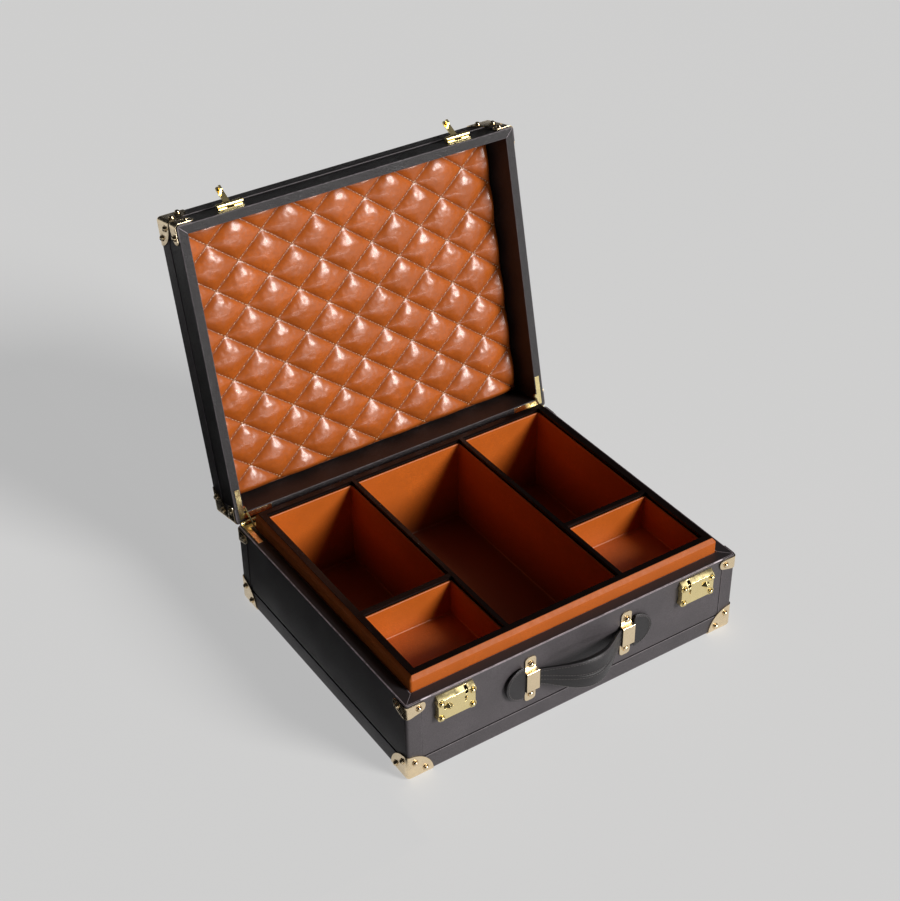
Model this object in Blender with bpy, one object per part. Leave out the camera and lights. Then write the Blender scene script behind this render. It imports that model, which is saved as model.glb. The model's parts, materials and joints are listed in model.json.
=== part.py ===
"""Leather poker chip case: base, fitted interior, quilted lid, brass locks, hasps, hinges and corners.

Metres, +Z up, front of the case towards -Y. The origin is the centre of the base's underside.
Lid pieces are modelled as if the lid were shut, then hang from an empty on the hinge line that
turns them open. The right-hand copies of the fittings are mirror images of the left-hand ones.
"""

import math

import bmesh
import bpy
from mathutils import Matrix, Vector

# ---- general fits ----
GAP = 0.0003
PANEL_STEP = 0.0006
RIM_GAP = 0.0004

# ---- case body ----
CASE_WIDTH = 0.420
CASE_DEPTH = 0.345
BASE_HEIGHT = 0.099
LID_HEIGHT = 0.0501
BASE_FLOOR = 0.005
LID_PANEL = 0.004
BASE_SIDE_WALL = 0.0149
BASE_FRONT_WALL = 0.0146
BASE_REAR_WALL = 0.0121
LID_WALL = 0.0113
LID_OPEN_ANGLE = math.radians(102.4)

# ---- leather binding strips ----
BINDING_THICKNESS = 0.0013
BASE_BINDING_RISE = 0.0210
LID_BINDING_DROP = 0.0205
BINDING_CORNER = 0.0175
UNDERSIDE_BINDING = 0.0216

# ---- fitted interior ----
LINER_FLOOR = 0.002
LINER_WALL = 0.0060
LINER_REAR_WALL = 0.0027
LIP_RISE = 0.0175
LIP_CHAMFER = 0.0022
FRAME_WALL = 0.005
FRAME_RISE = 0.0180
FRAME_ROUND = 0.0011
DIVIDER_THICKNESS = 0.0050
DIVIDER_OFFSET = 0.0725
CROSS_DIVIDER_Y = -0.0470
TRAY_WALL = 0.0022
TRAY_FLOOR = 0.002
TRAY_RISE = 0.0135
TRAY_ROUND = 0.0005
SMALL_TRAY_DEPTH = 0.0410

# ---- lid pad ----
PAD_RECESS = 0.030
PAD_EDGE_GAP = 0.0015
PAD_ROUND = 0.005
PAD_BOARD = 0.002

# ---- corner caps and rim brackets ----
CAP_REACH = 0.030
CAP_THICKNESS = 0.001
CAP_ARC_SEGMENTS = 40
CAP_RIVET_LONG = 0.0205
CAP_RIVET_SHORT = 0.0080
RIVET_RADIUS = 0.0031
RIVET_HEIGHT = 0.0017
RIVET_SEGMENTS = 10
BRACKET_LENGTH = 0.022
BRACKET_HEIGHT = 0.0150
BRACKET_RIM_DROP = 0.0022
BRACKET_RIVET_REACH = 0.0142

# ---- locks ----
LOCK_OFFSET = 0.154
LOCK_WIDTH = 0.046
LOCK_HEIGHT = 0.0298
LOCK_TOP_DROP = 0.0040
LOCK_DEPTH = 0.0060
LOCK_WALL = 0.0012
LOCK_BEVEL_DROP = 0.0040
LOCK_BEVEL_DEPTH = 0.0048
LOCK_EAR_RADIUS = 0.0046
LOCK_EAR_PROUD = 0.0012
LOCK_RIVET_RADIUS = 0.0027
LOCK_RIVET_HEIGHT = 0.0013
BUTTON_REACH = 0.0100
BUTTON_RISE = 0.0010
BUTTON_HALF = 0.0050
BUTTON_HEIGHT = 0.0042
BUTTON_STEM = 0.0017
BUTTON_TRAVEL = 0.0035
CATCH_THICKNESS = 0.0011
CATCH_HALF_HEIGHT = 0.0045
CATCH_NOSE_HALF = 0.0008
CATCH_NOSE_ENGAGE = 0.0014
KEYHOLE_REACH = 0.0105
KEYHOLE_HALF = 0.0007
KEYHOLE_RADIUS = 0.0015
KEYHOLE_LENGTH = 0.0072
KEY_CAM_RADIUS = 0.0034
KEY_CAM_ARM = 0.0060
KEY_CAM_THICKNESS = 0.0012

# ---- hasps ----
HASP_SHIFT = 0.0115
HASP_RISE = 0.0120
HASP_STANDOFF = 0.0036
HASP_BARREL_RADIUS = 0.0030
HASP_BARREL_LENGTH = 0.028
HASP_KNUCKLE_LENGTH = 0.0095
HASP_PLATE_THICKNESS = 0.0010
HASP_PIN_RADIUS = 0.0011
HASP_PIN_HEAD_RADIUS = 0.0026
HASP_PIN_HEAD_LENGTH = 0.0014
HASP_TONGUE_LENGTH = 0.0270
HASP_TONGUE_WIDTH = 0.0070
HASP_TONGUE_THICKNESS = 0.0016
HASP_LOCK_CLEARANCE = 0.0005
HASP_LUG_HALF = 0.0013
HASP_LUG_DEPTH = 0.0050
HASP_LUG_HEIGHT = 0.0052
HASP_LUG_REACH = 0.0221
HASP_LUG_SLACK = 0.0005
HASP_OPEN_ANGLE = math.radians(143.0)

# ---- hinges and stays ----
HINGE_AXIS_BEHIND = 0.0006
HINGE_BARREL_RADIUS = 0.0024
HINGE_PIN_RADIUS = 0.0009
HINGE_END_INSET = 0.0040
HINGE_LENGTH = 0.0300
HINGE_KNUCKLE = 0.0077
LEAF_THICKNESS = 0.0010
LEAF_SINK = 0.00015
LEAF_SIDE_NEAR = 0.0055
LEAF_WIDTH = 0.0058
LEAF_SIDE_LENGTH = 0.0400
LEAF_REAR_LENGTH = 0.0400
LEAF_REAR_NEAR = 0.0046
STAY_THICKNESS = 0.0012
STAY_WIDTH = 0.0030
STAY_LENGTH = 0.0240
STAY_PIVOT_REACH = 0.0160
STAY_PIVOT_RISE = 0.0020
STAY_END_RISE = 0.0022
STAY_LUG_THICKNESS = 0.0010
STAY_LUG_RADIUS = 0.0024
STAY_PIN_RADIUS = 0.0008

# ---- handle ----
KEEPER_OFFSET = 0.0615
KEEPER_WIDTH = 0.0160
KEEPER_LENGTH = 0.0585
KEEPER_THICKNESS = 0.0014
KEEPER_RAISED_LENGTH = 0.0255
KEEPER_RAISED_DEPTH = 0.0070
KEEPER_SCREW_REACH = 0.0198
HANDLE_CENTRE_Z = 0.0600
HANDLE_END_RADIUS = 0.0215
HANDLE_NECK_WIDTH = 0.0215
HANDLE_SHOULDER = 0.0022
HANDLE_GRIP_WIDTH = 0.0390
HANDLE_END_THICKNESS = 0.0034
HANDLE_GRIP_THICKNESS = 0.0075
HANDLE_BOW = 0.0240
HANDLE_END_REACH = 0.0935
HANDLE_STANDOFF = 0.0014
HANDLE_END_STATIONS = 9
HANDLE_GRIP_STATIONS = 16

# ---- derived planes ----
HALF_X = CASE_WIDTH / 2.0
HALF_Y = CASE_DEPTH / 2.0
RIM_Z = BASE_HEIGHT
LID_RIM_Z = RIM_Z + RIM_GAP
LID_TOP_Z = LID_RIM_Z + LID_HEIGHT
PANEL_X = HALF_X - PANEL_STEP
PANEL_Y = HALF_Y - PANEL_STEP
HINGE_AXIS = Vector((0.0, HALF_Y + HINGE_AXIS_BEHIND, RIM_Z + RIM_GAP / 2.0))
HINGE_OUTER_X = HALF_X - HINGE_END_INSET
LINER_X = HALF_X - BASE_SIDE_WALL - GAP
LINER_FRONT = -HALF_Y + BASE_FRONT_WALL + GAP
LINER_REAR = HALF_Y - BASE_REAR_WALL - GAP
FLOOR_TOP = BASE_FLOOR + GAP + LINER_FLOOR
INSERT_Z = FLOOR_TOP + GAP
FRAME_X = LINER_X - LINER_WALL - GAP
FRAME_FRONT = LINER_FRONT + LINER_WALL + GAP
FRAME_REAR = LINER_REAR - LINER_REAR_WALL - GAP
FRAME_TOP = RIM_Z + FRAME_RISE
TRAY_TOP = RIM_Z + TRAY_RISE
LOCK_TOP = RIM_Z - LOCK_TOP_DROP
LOCK_CENTRE_Z = LOCK_TOP - LOCK_HEIGHT / 2.0
HASP_AXIS = Vector((0.0, -HALF_Y - HASP_STANDOFF, LID_RIM_Z + HASP_RISE))
HASP_OFFSET = LOCK_OFFSET - HASP_SHIFT

MATERIALS = {
    "dark_leather": ((0.030, 0.024, 0.022), 0.42, 0.0),
    "dark_leather_binding": ((0.026, 0.021, 0.020), 0.45, 0.0),
    "tan_leather": ((0.560, 0.170, 0.045), 0.38, 0.0),
    "tan_quilted_leather": ((0.600, 0.190, 0.050), 0.30, 0.0),
    "black_edging": ((0.015, 0.011, 0.010), 0.30, 0.0),
    "pale_brass": ((0.830, 0.680, 0.420), 0.25, 1.0),
    "polished_brass": ((0.880, 0.660, 0.240), 0.20, 1.0),
    "backing_board": ((0.250, 0.200, 0.150), 0.80, 0.0),
}


# ------------------------------------------------------------------ scene helpers


def clear_scene():
    """Remove every object that is in the scene."""
    for item in list(bpy.data.objects):
        bpy.data.objects.remove(item, do_unlink=True)


def make_material(name):
    """Principled material of its own for one node, from the shared palette."""
    colour, roughness, metallic = MATERIALS[name]
    material = bpy.data.materials.new(name)
    material.use_nodes = True
    shader = material.node_tree.nodes["Principled BSDF"]
    shader.inputs["Base Color"].default_value = (*colour, 1.0)
    shader.inputs["Roughness"].default_value = roughness
    shader.inputs["Metallic"].default_value = metallic
    return material


def make_empty(name, location, parent=None):
    """Empty that carries a joint axis."""
    empty = bpy.data.objects.new(name, None)
    empty.location = location
    empty.parent = parent
    bpy.context.scene.collection.objects.link(empty)
    return empty


class Frame:
    """Where a piece is modelled and what carries it: its modelling origin and its parent empty."""

    def __init__(self, origin=(0.0, 0.0, 0.0), parent=None):
        self.origin = Vector(origin)
        self.parent = parent


def place(name, bm, frame):
    """Turn a bmesh into an object whose mesh is written from its frame's origin."""
    bmesh.ops.remove_doubles(bm, verts=bm.verts, dist=1e-7)
    bmesh.ops.recalc_face_normals(bm, faces=bm.faces)
    bmesh.ops.translate(bm, verts=bm.verts, vec=-frame.origin)
    mesh = bpy.data.meshes.new(name)
    bm.to_mesh(mesh)
    bm.free()
    item = bpy.data.objects.new(name, mesh)
    item.parent = frame.parent
    if frame.parent is None:
        item.location = frame.origin
    bpy.context.scene.collection.objects.link(item)
    return item


def add_node(name, bm, frame, material, smooth=False):
    """One visible, named sub-part with its own material."""
    item = place(name, bm, frame)
    item.data.materials.append(make_material(material))
    for polygon in item.data.polygons:
        polygon.use_smooth = smooth
    return item


def add_tool(name, bm, frame):
    """A hidden operand for a Boolean modifier."""
    item = place(name, bm, frame)
    item.hide_render = True
    item.display_type = "WIRE"
    return item


def add_boolean(item, tool, operation):
    """Apply one exact Boolean to an item."""
    step = item.modifiers.new(tool.name, "BOOLEAN")
    step.operation = operation
    step.object = tool
    step.solver = "EXACT"


def mirrored(bm, side):
    """Mirror a bmesh to the left when side is -1."""
    if side < 0:
        bmesh.ops.transform(bm, matrix=Matrix.Scale(-1.0, 4, (1.0, 0.0, 0.0)), verts=bm.verts)
        bmesh.ops.reverse_faces(bm, faces=bm.faces)
    return bm


# ------------------------------------------------------------------ shape helpers


def block_solid(added, removed=()):
    """Exact union of boxes minus boxes, as one mesh. Each box is (low corner, high corner)."""
    boxes = list(added) + list(removed)
    lines = []
    for axis in range(3):
        values = sorted({round(corner[axis], 7) for box in boxes for corner in box})
        lines.append(values)
    counts = [len(values) - 1 for values in lines]

    def inside(box, point):
        return all(box[0][k] < point[k] < box[1][k] for k in range(3))

    def is_solid(cell):
        if any(cell[k] < 0 or cell[k] >= counts[k] for k in range(3)):
            return False
        point = [(lines[k][cell[k]] + lines[k][cell[k] + 1]) / 2.0 for k in range(3)]
        return any(inside(b, point) for b in added) and not any(inside(b, point) for b in removed)

    filled = set()
    for i in range(counts[0]):
        for j in range(counts[1]):
            for k in range(counts[2]):
                if is_solid((i, j, k)):
                    filled.add((i, j, k))
    return mesh_from_cells(filled, lines)


def mesh_from_cells(filled, lines):
    """Skin of a set of filled grid cells."""
    bm = bmesh.new()
    corners = {}

    def corner(index):
        if index not in corners:
            corners[index] = bm.verts.new([lines[k][index[k]] for k in range(3)])
        return corners[index]

    for cell in sorted(filled):
        for axis in range(3):
            for way in (0, 1):
                other = list(cell)
                other[axis] += 1 if way else -1
                if tuple(other) in filled:
                    continue
                u, v = [k for k in range(3) if k != axis]
                quad = []
                for du, dv in ((0, 0), (1, 0), (1, 1), (0, 1)):
                    index = list(cell)
                    index[axis] += way
                    index[u] += du
                    index[v] += dv
                    quad.append(corner(tuple(index)))
                bm.faces.new(quad)
    bmesh.ops.recalc_face_normals(bm, faces=bm.faces)
    bmesh.ops.dissolve_limit(bm, angle_limit=math.radians(1.0), verts=bm.verts, edges=bm.edges)
    return bm


def add_block(bm, low, high):
    """Add one plain box to a bmesh."""
    size = [high[k] - low[k] for k in range(3)]
    centre = [(high[k] + low[k]) / 2.0 for k in range(3)]
    matrix = Matrix.Translation(centre) @ Matrix.Diagonal((*size, 1.0))
    bmesh.ops.create_cube(bm, size=1.0, matrix=matrix)


def add_prism(bm, outline, axis, low, high):
    """Extrude a flat outline along an axis. The outline is in the two other axes, in order."""
    others = [k for k in range(3) if k != axis]

    def vertex(point, level):
        place_at = [0.0, 0.0, 0.0]
        place_at[others[0]] = point[0]
        place_at[others[1]] = point[1]
        place_at[axis] = level
        return bm.verts.new(place_at)

    near = [vertex(point, low) for point in outline]
    far = [vertex(point, high) for point in outline]
    faces = [bm.faces.new(near), bm.faces.new(list(reversed(far)))]
    count = len(outline)
    for index in range(count):
        following = (index + 1) % count
        faces.append(bm.faces.new((near[index], far[index], far[following], near[following])))
    bmesh.ops.recalc_face_normals(bm, faces=faces)


def add_rod(bm, start, direction, length, radius, segments=16):
    """Add a closed cylinder that starts at a point and runs along a direction."""
    turn = Vector((0.0, 0.0, 1.0)).rotation_difference(Vector(direction)).to_matrix().to_4x4()
    middle = Vector(start) + Vector(direction) * (length / 2.0)
    bmesh.ops.create_cone(
        bm,
        cap_ends=True,
        segments=segments,
        radius1=radius,
        radius2=radius,
        depth=length,
        matrix=Matrix.Translation(middle) @ turn,
    )


def add_turned(bm, centre, profile, segments):
    """Add a closed turned shape along X from (distance along, radius) pairs."""
    rings = []
    for along, radius in profile:
        ring = []
        for index in range(segments):
            angle = 2.0 * math.pi * index / segments
            y = centre[1] + radius * math.cos(angle)
            z = centre[2] + radius * math.sin(angle)
            ring.append(bm.verts.new((centre[0] + along, y, z)))
        rings.append(ring)
    bm.faces.new(rings[0])
    bm.faces.new(list(reversed(rings[-1])))
    bridge_rings(bm, rings)


def bridge_rings(bm, rings):
    """Skin between neighbouring rings of equal size."""
    count = len(rings[0])
    for lower, upper in zip(rings[:-1], rings[1:]):
        for index in range(count):
            following = (index + 1) % count
            bm.faces.new((lower[index], lower[following], upper[following], upper[index]))


def add_dome(bm, base, direction, radius, height, root=0.0005, segments=RIVET_SEGMENTS):
    """Add a rivet head: a low dome with a short root that reaches into its plate."""
    turn = Vector((0.0, 0.0, 1.0)).rotation_difference(Vector(direction)).to_matrix().to_4x4()
    matrix = Matrix.Translation(base) @ turn
    profile = ((-root, radius), (height * 0.35, radius), (height * 0.8, radius * 0.62))
    rings = []
    for level, reach in profile:
        ring = []
        for index in range(segments):
            angle = 2.0 * math.pi * index / segments
            point = Vector((reach * math.cos(angle), reach * math.sin(angle), level))
            ring.append(bm.verts.new(matrix @ point))
        rings.append(ring)
    top = bm.verts.new(matrix @ Vector((0.0, 0.0, height)))
    bm.faces.new(list(reversed(rings[0])))
    bridge_rings(bm, rings)
    for index in range(segments):
        bm.faces.new((rings[-1][index], rings[-1][(index + 1) % segments], top))


def round_edges(bm, chosen, radius, segments=2):
    """Round or chamfer the edges for which chosen(first point, second point) is true."""
    edges = [e for e in bm.edges if len(e.link_faces) == 2 and chosen(e.verts[0].co, e.verts[1].co)]
    sharp = [e for e in edges if e.calc_face_angle(0.0) > math.radians(30.0)]
    bmesh.ops.bevel(
        bm,
        geom=sharp,
        offset=radius,
        offset_type="OFFSET",
        segments=segments,
        profile=0.5,
        affect="EDGES",
        clamp_overlap=True,
        material=-1,
    )


def round_top(bm, level, radius, segments=2):
    """Round every edge that lies at one height."""
    round_edges(
        bm,
        lambda a, b: abs(a.z - level) < 1e-6 and abs(b.z - level) < 1e-6,
        radius,
        segments,
    )


# ------------------------------------------------------------------ base shell and binding


def hinge_pockets():
    """Boxes cut from both shells and bindings round the hinge barrels and leaves."""
    clear = HINGE_BARREL_RADIUS + 0.0005
    boxes = []
    for side in (-1, 1):
        inner = HINGE_OUTER_X - HINGE_LENGTH
        xs = sorted((side * (inner - 0.0006), side * (HINGE_OUTER_X + 0.0006)))
        low = (xs[0], HINGE_AXIS.y - clear, HINGE_AXIS.z - clear)
        high = (xs[1], HALF_Y + 0.01, HINGE_AXIS.z + clear)
        boxes.append((low, high))
    return boxes


def leaf_outline():
    """Side and rear legs of a right-hand hinge leaf as plan boxes (x low, x high, y low, y high)."""
    outer = HALF_X - LEAF_SIDE_NEAR + 0.0010
    inner = outer - LEAF_WIDTH
    rear = HALF_Y - LEAF_REAR_NEAR + 0.0004
    side_leg = (inner, outer, HALF_Y - LEAF_SIDE_LENGTH, rear)
    rear_leg = (outer - LEAF_REAR_LENGTH, outer, rear - LEAF_WIDTH, rear)
    return side_leg, rear_leg


def knuckle_spans():
    """Spans along X of the base knuckles and the lid knuckle of a right-hand hinge."""
    inner = HINGE_OUTER_X - HINGE_LENGTH
    base = ((inner, inner + HINGE_KNUCKLE), (HINGE_OUTER_X - HINGE_KNUCKLE, HINGE_OUTER_X))
    lid = ((inner + HINGE_KNUCKLE + GAP, HINGE_OUTER_X - HINGE_KNUCKLE - GAP),)
    return base, lid


def stay_lug_recesses(low_z, high_z):
    """Boxes let into the lid rim for the foot of each stay lug."""
    lug, link, pivot_y, pivot_z = stay_levels()
    inner = leaf_outline()[0][0]
    half = STAY_LUG_RADIUS + GAP
    boxes = []
    for side in (-1, 1):
        xs = sorted((side * (lug[0] - GAP), side * (inner + GAP)))
        boxes.append(((xs[0], pivot_y - half, low_z), (xs[1], pivot_y + half, high_z)))
    return boxes


def leaf_recesses(low_z, high_z, spans):
    """Boxes let into a rim for the leaves and for the webs that reach the knuckles."""
    boxes = []
    for side in (-1, 1):
        for x0, x1, y0, y1 in leaf_outline():
            xs = sorted((side * (x0 - GAP), side * (x1 + GAP)))
            boxes.append(((xs[0], y0 - GAP, low_z), (xs[1], y1 + GAP, high_z)))
        for x0, x1 in spans:
            xs = sorted((side * (x0 - GAP), side * (x1 + GAP)))
            boxes.append(((xs[0], HALF_Y - LEAF_REAR_NEAR - 0.001 - GAP, low_z), (xs[1], HALF_Y + 0.01, high_z)))
    return boxes


def build_base_shell():
    """Open box of board covered in dark leather, stepped back where the binding wraps it."""
    core_x = PANEL_X - (BINDING_THICKNESS + GAP - PANEL_STEP)
    core_y = PANEL_Y - (BINDING_THICKNESS + GAP - PANEL_STEP)
    core_z = BINDING_THICKNESS + GAP - PANEL_STEP
    face_x = HALF_X - BINDING_CORNER - GAP
    face_y = HALF_Y - BINDING_CORNER - GAP
    face_z = BASE_BINDING_RISE + GAP
    under_x = HALF_X - UNDERSIDE_BINDING - GAP
    under_y = HALF_Y - UNDERSIDE_BINDING - GAP
    added = [
        ((-core_x, -core_y, core_z), (core_x, core_y, RIM_Z)),
        ((-face_x, -PANEL_Y, face_z), (face_x, PANEL_Y, RIM_Z)),
        ((-PANEL_X, -face_y, face_z), (PANEL_X, face_y, RIM_Z)),
        ((-under_x, -under_y, 0.0), (under_x, under_y, RIM_Z)),
    ]
    low = (-HALF_X + BASE_SIDE_WALL, -HALF_Y + BASE_FRONT_WALL, BASE_FLOOR)
    high = (HALF_X - BASE_SIDE_WALL, HALF_Y - BASE_REAR_WALL, RIM_Z + 0.01)
    spans = knuckle_spans()[0]
    recess_floor = RIM_Z - LEAF_SINK - LEAF_THICKNESS - GAP
    removed = [(low, high)] + hinge_pockets() + leaf_recesses(recess_floor, RIM_Z + 0.01, spans)
    add_node("base_shell", block_solid(added, removed), Frame(), "dark_leather")


def build_base_binding():
    """Leather strips round the bottom edges and up the four corners."""
    wall = BINDING_THICKNESS
    big = 0.5
    added = [((-HALF_X, -HALF_Y, -PANEL_STEP), (HALF_X, HALF_Y, RIM_Z))]
    hollow = ((-HALF_X + wall, -HALF_Y + wall, -PANEL_STEP + wall), (HALF_X - wall, HALF_Y - wall, big))
    face_x = HALF_X - BINDING_CORNER
    face_y = HALF_Y - BINDING_CORNER
    under_x = HALF_X - UNDERSIDE_BINDING
    under_y = HALF_Y - UNDERSIDE_BINDING
    removed = [
        hollow,
        ((-face_x, -big, BASE_BINDING_RISE), (face_x, big, big)),
        ((-big, -face_y, BASE_BINDING_RISE), (big, face_y, big)),
        ((-under_x, -under_y, -big), (under_x, under_y, big)),
    ]
    spans = knuckle_spans()[0]
    removed += hinge_pockets() + leaf_recesses(RIM_Z - 0.0015, big, spans)
    bm = block_solid(added, removed)
    add_node("base_binding", bm, Frame(), "dark_leather_binding")


# ------------------------------------------------------------------ fitted interior


def build_liner_box():
    """Tan leather box inside the base; its lip stands above the rim and guides the lid."""
    added = [((-LINER_X, LINER_FRONT, BASE_FLOOR + GAP), (LINER_X, LINER_REAR, RIM_Z + LIP_RISE))]
    low = (-LINER_X + LINER_WALL, LINER_FRONT + LINER_WALL, FLOOR_TOP)
    high = (LINER_X - LINER_WALL, LINER_REAR - LINER_REAR_WALL, RIM_Z + 0.1)
    bm = block_solid(added, [(low, high)])
    top = RIM_Z + LIP_RISE

    def outer_top(a, b):
        on_top = abs(a.z - top) < 1e-6 and abs(b.z - top) < 1e-6
        on_side = abs(abs(a.x) - LINER_X) < 1e-6 and abs(abs(b.x) - LINER_X) < 1e-6
        on_front = abs(a.y - LINER_FRONT) < 1e-6 and abs(b.y - LINER_FRONT) < 1e-6
        on_rear = abs(a.y - LINER_REAR) < 1e-6 and abs(b.y - LINER_REAR) < 1e-6
        return on_top and (on_side or on_front or on_rear)

    round_edges(bm, outer_top, LIP_CHAMFER, segments=1)
    add_node("liner_box", bm, Frame(), "tan_leather")


def divider_planes():
    """Inner faces of the divider frame: long dividers at +-X and the cross dividers in Y."""
    near_x = DIVIDER_OFFSET - DIVIDER_THICKNESS / 2.0
    far_x = DIVIDER_OFFSET + DIVIDER_THICKNESS / 2.0
    near_y = CROSS_DIVIDER_Y - DIVIDER_THICKNESS / 2.0
    far_y = CROSS_DIVIDER_Y + DIVIDER_THICKNESS / 2.0
    return near_x, far_x, near_y, far_y


def compartment_openings():
    """Plan rectangles of the five cells of the divider frame, by name."""
    near_x, far_x, near_y, far_y = divider_planes()
    wall_x = FRAME_X - FRAME_WALL
    front = FRAME_FRONT + FRAME_WALL
    rear = FRAME_REAR - FRAME_WALL
    return {
        "rear_left": (-wall_x, -far_x, far_y, rear),
        "front_left": (-wall_x, -far_x, front, near_y),
        "centre": (-near_x, near_x, front, rear),
        "rear_right": (far_x, wall_x, far_y, rear),
        "front_right": (far_x, wall_x, front, near_y),
    }


def build_divider_frame():
    """Black-edged grid that divides the liner box into five cells."""
    added = [((-FRAME_X, FRAME_FRONT, INSERT_Z), (FRAME_X, FRAME_REAR, FRAME_TOP))]
    removed = []
    for x0, x1, y0, y1 in compartment_openings().values():
        removed.append(((x0, y0, INSERT_Z - 0.01), (x1, y1, FRAME_TOP + 0.01)))
    bm = block_solid(added, removed)
    round_top(bm, FRAME_TOP, FRAME_ROUND, segments=2)
    add_node("divider_frame", bm, Frame(), "black_edging")


def build_tray(name, cell, depth):
    """Tan leather lining of one cell; a shallow one has its floor part of the way up."""
    x0, x1, y0, y1 = cell
    low = (x0 + GAP, y0 + GAP, INSERT_Z)
    high = (x1 - GAP, y1 - GAP, TRAY_TOP)
    inner_x = (low[0] + TRAY_WALL, high[0] - TRAY_WALL)
    inner_y = (low[1] + TRAY_WALL, high[1] - TRAY_WALL)
    if depth is None:
        floor_top = INSERT_Z + TRAY_FLOOR
    else:
        floor_top = TRAY_TOP - depth
    removed = [((inner_x[0], inner_y[0], floor_top), (inner_x[1], inner_y[1], TRAY_TOP + 0.01))]
    if depth is not None:
        under = floor_top - TRAY_FLOOR
        removed.append(((inner_x[0], inner_y[0], INSERT_Z - 0.01), (inner_x[1], inner_y[1], under)))
    bm = block_solid([(low, high)], removed)
    round_top(bm, TRAY_TOP, TRAY_ROUND, segments=1)
    add_node(name, bm, Frame(), "tan_leather")


def build_trays():
    """The five lined compartments."""
    for name, cell in compartment_openings().items():
        depth = SMALL_TRAY_DEPTH if name.startswith("front") else None
        build_tray(name + "_compartment", cell, depth)


# ------------------------------------------------------------------ lid


def lid_frame(lid_empty):
    """Frame for pieces that are modelled with the lid shut and open with it."""
    return Frame(HINGE_AXIS, lid_empty)


def build_lid_shell(frame):
    """Shallow tray of board covered in dark leather."""
    step = BINDING_THICKNESS + GAP - PANEL_STEP
    core_x = PANEL_X - step
    core_y = PANEL_Y - step
    face_x = HALF_X - BINDING_CORNER - GAP
    face_y = HALF_Y - BINDING_CORNER - GAP
    face_z = LID_TOP_Z - LID_BINDING_DROP - GAP
    panel_top = LID_TOP_Z - PANEL_STEP
    added = [
        ((-core_x, -core_y, LID_RIM_Z), (core_x, core_y, panel_top - step)),
        ((-face_x, -PANEL_Y, LID_RIM_Z), (face_x, PANEL_Y, face_z)),
        ((-PANEL_X, -face_y, LID_RIM_Z), (PANEL_X, face_y, face_z)),
        ((-face_x, -face_y, LID_RIM_Z), (face_x, face_y, panel_top)),
    ]
    low = (-HALF_X + LID_WALL, -HALF_Y + LID_WALL, LID_RIM_Z - 0.01)
    high = (HALF_X - LID_WALL, HALF_Y - LID_WALL, LID_TOP_Z - LID_PANEL)
    spans = knuckle_spans()[1]
    recess_top = LID_RIM_Z + LEAF_SINK + LEAF_THICKNESS + GAP
    removed = [(low, high)] + hinge_pockets() + leaf_recesses(LID_RIM_Z - 0.01, recess_top, spans)
    removed += stay_lug_recesses(LID_RIM_Z - 0.01, recess_top)
    add_node("lid_shell", block_solid(added, removed), frame, "dark_leather")


def build_lid_binding(frame):
    """Leather strips round the lid's outer edges and down its four corners."""
    wall = BINDING_THICKNESS
    big = 0.5
    added = [((-HALF_X, -HALF_Y, LID_RIM_Z), (HALF_X, HALF_Y, LID_TOP_Z))]
    hollow = ((-HALF_X + wall, -HALF_Y + wall, -big), (HALF_X - wall, HALF_Y - wall, LID_TOP_Z - wall))
    face_x = HALF_X - BINDING_CORNER
    face_y = HALF_Y - BINDING_CORNER
    face_z = LID_TOP_Z - LID_BINDING_DROP
    removed = [
        hollow,
        ((-face_x, -big, -big), (face_x, big, face_z)),
        ((-big, -face_y, -big), (big, face_y, face_z)),
        ((-face_x, -face_y, -big), (face_x, face_y, big)),
    ]
    spans = knuckle_spans()[1]
    removed += hinge_pockets() + leaf_recesses(-big, LID_RIM_Z + 0.0015, spans)
    add_node("lid_binding", block_solid(added, removed), frame, "dark_leather_binding")


def build_lid_pad(frame):
    """Backing board and the soft quilted pad that fills the lid."""
    edge_x = HALF_X - LID_WALL - PAD_EDGE_GAP
    edge_y = HALF_Y - LID_WALL - PAD_EDGE_GAP
    board_top = LID_TOP_Z - LID_PANEL - GAP
    board_low = board_top - PAD_BOARD
    board = block_solid([((-edge_x, -edge_y, board_low), (edge_x, edge_y, board_top))])
    add_node("lid_pad_board", board, frame, "backing_board")
    face = LID_RIM_Z + PAD_RECESS
    pad = block_solid([((-edge_x, -edge_y, face), (edge_x, edge_y, board_low - GAP))])
    round_top(pad, face, PAD_ROUND, segments=3)
    add_node("lid_pad", pad, frame, "tan_quilted_leather")


# ------------------------------------------------------------------ corner caps and rim brackets


def cap_shell(reach, skirt):
    """Three thin plates that meet at a corner, in corner space: the case fills +x, +y, +z."""
    outer = -GAP - CAP_THICKNESS
    bm = block_solid(
        [((outer, outer, outer), (reach + skirt, reach + skirt, reach + skirt))],
        [((-GAP, -GAP, -GAP), (reach + 2.0 * skirt, reach + 2.0 * skirt, reach + 2.0 * skirt))],
    )

    def at_corner(a, b):
        on = [abs(a[k] - outer) < 1e-6 and abs(b[k] - outer) < 1e-6 for k in range(3)]
        return sum(on) == 2

    round_edges(bm, at_corner, CAP_THICKNESS * 0.7, segments=2)
    return bm


def cap_rivets(faces):
    """Rivet heads for the chosen faces, as (position, outward direction), in corner space."""
    outer = -GAP - CAP_THICKNESS
    spots = []
    for axis in faces:
        others = [k for k in range(3) if k != axis]
        for first, second in ((CAP_RIVET_LONG, CAP_RIVET_SHORT), (CAP_RIVET_SHORT, CAP_RIVET_LONG)):
            point = [0.0, 0.0, 0.0]
            point[others[0]] = first
            point[others[1]] = second
            point[axis] = outer
            direction = [0.0, 0.0, 0.0]
            direction[axis] = -1.0
            spots.append((point, direction))
    return spots


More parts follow.
